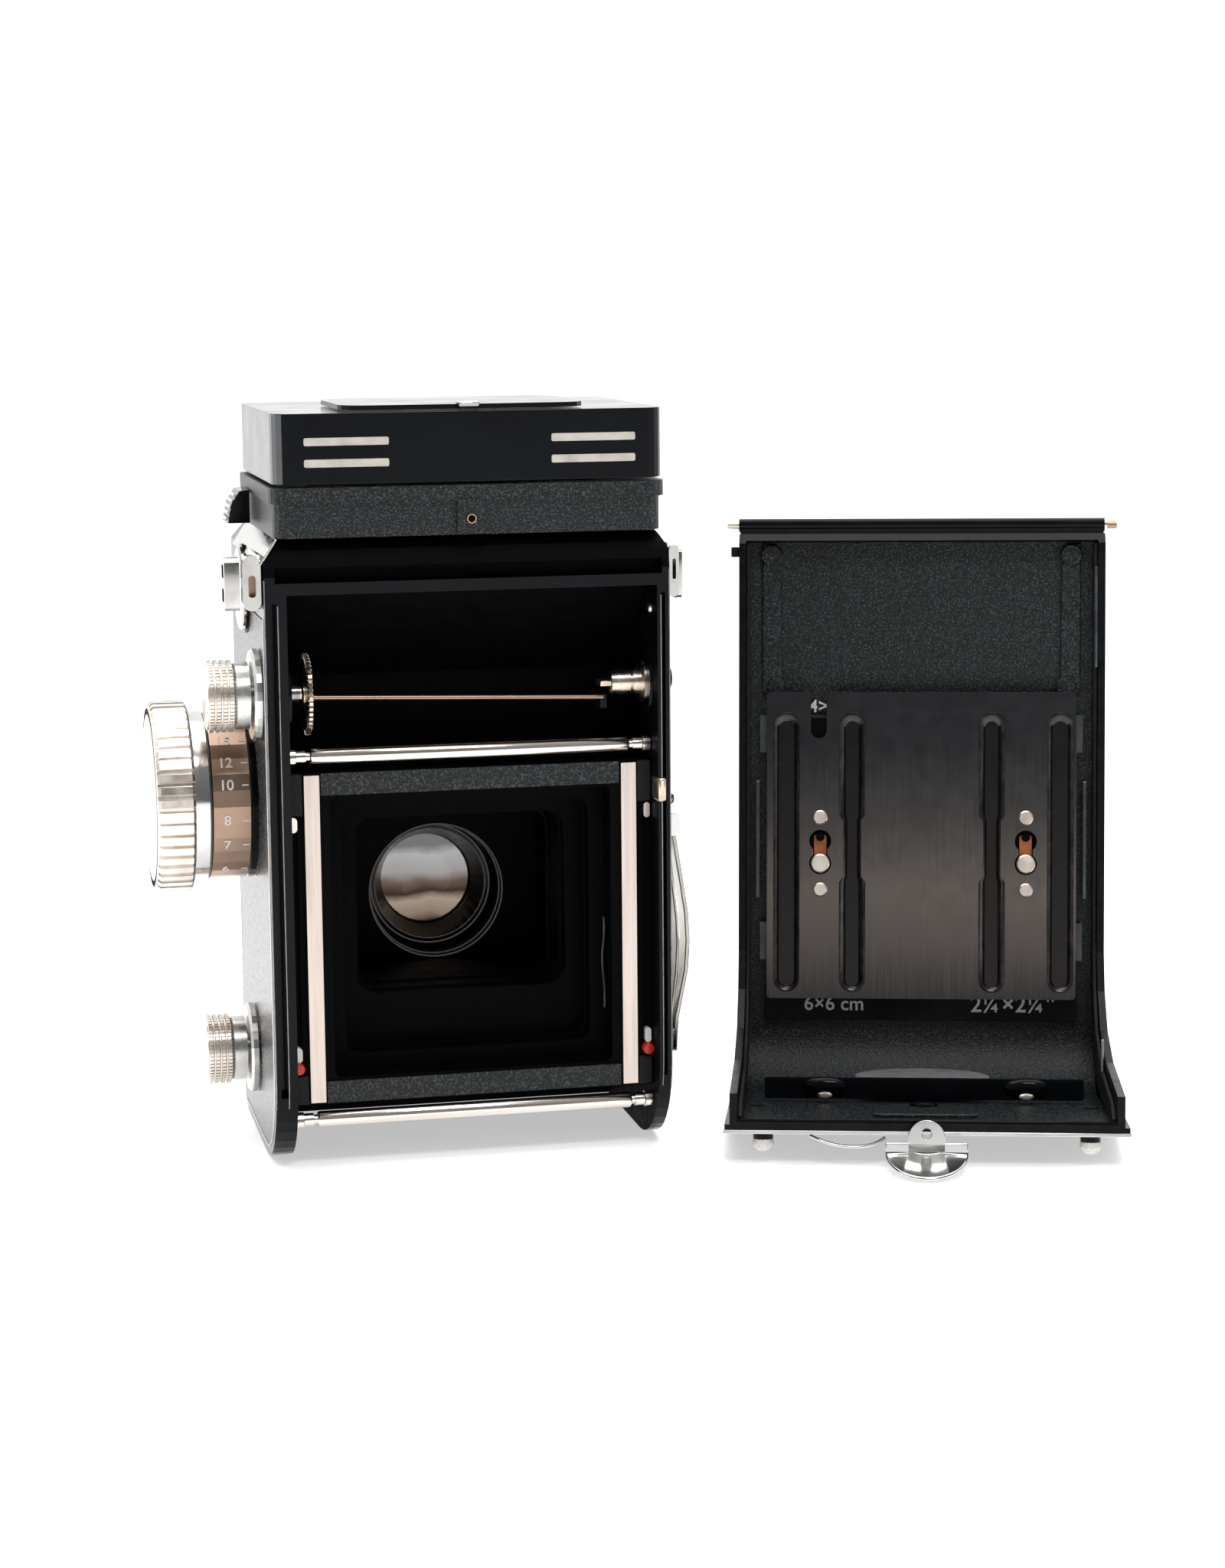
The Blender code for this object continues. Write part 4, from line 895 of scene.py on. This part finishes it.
def floor_details():
    floor = Maker(BACK, "back", "back_shell")
    floor.box("front_trim", (-40.0, 58.95, -122.95), (40.0, 59.35, -122.2), "chrome", edge=0.12)
    for tag, sign in (("left", 1), ("right", -1)):
        floor.flat("side_trim_" + tag, "X",
                   [[(14.0, -122.9), (59.2, -123.0), (59.2, -122.4), (14.0, -122.4)]],
                   *sorted((sign * 39.8, sign * 40.05)), "chrome", edge=0.05)
    floor.box("floor_lip", (-37.6, 57.3, -121.3), (37.6, 58.3, -120.0), "enamel", edge=0.25)
    pad = [(10.4, 50.5), (9.2, 51.6), (-9.2, 51.6), (-10.4, 50.5), (-10.4, 37.5), (-6.5, 36.8), (-5.0, 35.2),
           (5.0, 35.2), (6.5, 36.8), (10.4, 37.5)]
    floor.flat("floor_pad", "Z", [pad], -120.6, -119.7, "wrinkle", edge=0.25)
    floor.lathe("floor_button", "+Z", (0, 38.0, 0), [(-118.9, 0.0), (-119.0, 2.2), (-119.3, 2.7),
                                                   (-119.7, 2.8)], "enamel")
    boss = Maker(BACK, "back", "tripod_boss")
    boss.flat("tripod_disc", "Z", [arc(0, 18.6, 14.0, 152, 388, 40)], -117.0, -115.9, "grey_cast",
              edge=0.3)
    bar = Maker(BACK, "back", "spool_spring")
    bar.flat("spool_spring_bar", "Y", [rounded(-33.0, 32.6, -119.8, -115.4, 0.5)], 26.0, 27.1, "enamel",
             edge=0.3, replaces=("spool_spring",))
    for tag, x in (("left", 20.2), ("right", -21.2)):
        dome = lathe_mesh("dimple_" + tag, "+Y", (0, 0, 0),
                          [(28.6, 0.0), (28.5, 2.0), (28.2, 3.4), (27.7, 4.4), (27.0, 4.8)])
        dome.transform(shift(x, 0, -117.3) @ Matrix.Diagonal((1, 1, 0.45, 1)))
        bar.add("dimple_" + tag, dome, "enamel")
        pin = lathe_mesh("dimple_pin_" + tag, "+Y", (0, 0, 0),
                         [(29.3, 0.0), (29.2, 1.0), (28.8, 1.5), (28.0, 1.6)], 32)
        pin.transform(shift(x, 0, -118.9) @ Matrix.Diagonal((1, 1, 0.5, 1)))
        bar.add("dimple_pin_" + tag, pin, "rivet")


def latch_details():
    latch = Maker(BACK, "latch", "back_latch")
    tab = [(-3.6, -127.0), (3.6, -127.0)] + arc(0.0, -123.3, 3.6, 0, 180, 16)
    hole = arc(0.0, -122.4, 1.05, 0, 345, 23)
    latch.flat("latch_tab", "Y", [tab, hole], 60.15, 61.0, "chrome", edge=0.2,
               replaces=("back_latch",))
    bm = bmesh.new()
    rows, columns = 14, 32
    grid = []
    for i in range(rows + 1):
        reach = i / rows
        row = []
        for j in range(columns + 1):
            angle = math.pi * j / columns
            u = SCOOP_HALF * math.cos(angle) * (0.25 + 0.75 * reach)
            out = SCOOP_REACH * math.sin(angle) * reach
            dish = SCOOP_DISH * math.sin(math.pi * reach) * math.sin(angle)
            forward = 60.9 + out * 0.93
            height = -126.3 - out * 0.37 - dish * 0.6
            row.append(bm.verts.new((u * MM, forward * MM, height * MM)))
        grid.append(row)
    for lower, upper in zip(grid, grid[1:]):
        for j in range(columns):
            bm.faces.new((lower[j], lower[j + 1], upper[j + 1], upper[j]))
    thicken(latch.add("latch_scoop", clean_mesh("latch_scoop", bm), "chrome", sharp=60.0), 0.7)
    latch.box("latch_strip", (-8.1, 60.2, -127.0), (8.1, 61.0, -124.2), "chrome", edge=0.25)
    wire = Maker(BACK, "back", "back_latch")
    wire.tube("bail_wire", [(23.0, 57.8, -123.4), (20.0, 58.2, -124.8), (15.0, 58.6, -125.6),
                            (10.0, 58.4, -125.1), (8.0, 58.0, -123.6)], 0.38, "chrome")


def hinge_details():
    rod = Maker(BACK, "back", "hinge_barrel")
    rod.lathe("hinge_fixed_pin", "-X", (0, 0, 0), [(41.5, 0.0), (41.4, 0.85), (38.9, 0.9)], "bronze",
              steps=32)
    rod.lathe("hinge_fixed_collar", "-X", (0, 0, 0), [(39.4, 0.9), (39.3, 1.5), (38.8, 1.55)], "nickel",
              steps=32)
    rod.box("wall_top_edge", (-38.6, -2.2, -2.4), (38.6, 1.2, 0.3), "matte", edge=0.2)
    rod.box("pin_guide_tab", (38.9, -0.9, -6.7), (40.6, 0.9, -4.6), "matte", edge=0.2)
    leaf = Maker(BACK, "back", "back_shell")
    leaf.box("flange_leaf", (-37.2, 2.2, -30.5), (-36.5, 4.4, -9.0), "steel_dark", edge=0.3)
    leaf.box("flange_lever", (-37.0, 27.0, -117.0), (-36.4, 28.2, -107.0), "dull_steel", edge=0.2)


# ---------------------------------------------------------------------- stage

def add_camera():
    lens_mm, pitch, yaw, roll = 75.0, 9.01, 12.40, -0.51
    data = bpy.data.cameras.new("view")
    data.lens = lens_mm
    data.sensor_width = 36.0
    data.clip_start = 0.01
    view = bpy.data.objects.new("view", data)
    turn = (Matrix.Rotation(math.radians(-yaw), 4, "Z")
            @ Matrix.Rotation(math.radians(90.0 - pitch), 4, "X")
            @ Matrix.Rotation(math.radians(roll), 4, "Z"))
    view.matrix_world = CAMERA @ shift(-109.2, -626.6, 130.1) @ turn
    bpy.context.scene.collection.objects.link(view)
    bpy.context.scene.camera = view


def area(name, place, target, size, power, colour=(1.0, 1.0, 1.0)):
    data = bpy.data.lights.new(name, "AREA")
    data.shape = "RECTANGLE"
    data.size, data.size_y = size
    data.energy = power
    data.color = colour
    light = bpy.data.objects.new(name, data)
    light.location = place
    light.rotation_euler = (Vector(target) - Vector(place)).to_track_quat("-Z", "Y").to_euler()
    bpy.context.scene.collection.objects.link(light)


def add_world():
    """White behind the object and above it, and dim behind the viewer."""
    world = bpy.data.worlds.new("studio")
    bpy.context.scene.world = world
    world.use_nodes = True
    nodes, wires = links(world)
    coords = nodes.new("ShaderNodeTexCoord")
    split = nodes.new("ShaderNodeSeparateXYZ")
    wires.new(coords.outputs["Generated"], split.inputs["Vector"])
    forward = spread(world, split.outputs["Y"], 0.0, 1.0, -1.0, 1.0)
    greys = ((0.0, 0.14), (0.30, 0.30), (0.50, 0.62), (0.62, 1.0))
    colour = tint(world, forward, [(place, (grey, grey, grey)) for place, grey in greys])
    wires.new(colour, nodes["Background"].inputs["Color"])
    nodes["Background"].inputs["Strength"].default_value = WORLD_STRENGTH


def add_stage():
    mesh = bpy.data.meshes.new("floor")
    bm = bmesh.new()
    bmesh.ops.create_grid(bm, x_segments=1, y_segments=1, size=6.0)
    bm.to_mesh(mesh)
    bm.free()
    floor = bpy.data.objects.new("floor", mesh)
    floor.location.z = -0.0003
    bpy.context.scene.collection.objects.link(floor)
    look = finish("pale_floor", (0.86, 0.86, 0.86), (0.90, 0.90, 0.90), (0.55, 0.6), grain=0.002)
    emit(look, (1.0, 1.0, 1.0, 1.0), FLOOR_GLOW)
    mesh.materials.append(look)
    area("top_softbox", (0.0, 0.10, 0.95), (0.03, 0.0, 0.05), (1.2, 0.8), 8.0)
    area("front_floor_wash", (0.1, -0.9, 1.3), (0.1, -0.55, 0.0), (0.6, 0.3), 7.0)
    bpy.context.scene.view_settings.view_transform = "Standard"


dress_frame()
hood_details()
shoulder_details()
knob_details()
focus_details()
crank_details()
roller_details()
chamber_details()
gate_details()
lens_details()
body_details()
back_details()
plate_details()
floor_details()
latch_details()
hinge_details()
add_camera()
add_world()
add_stage()
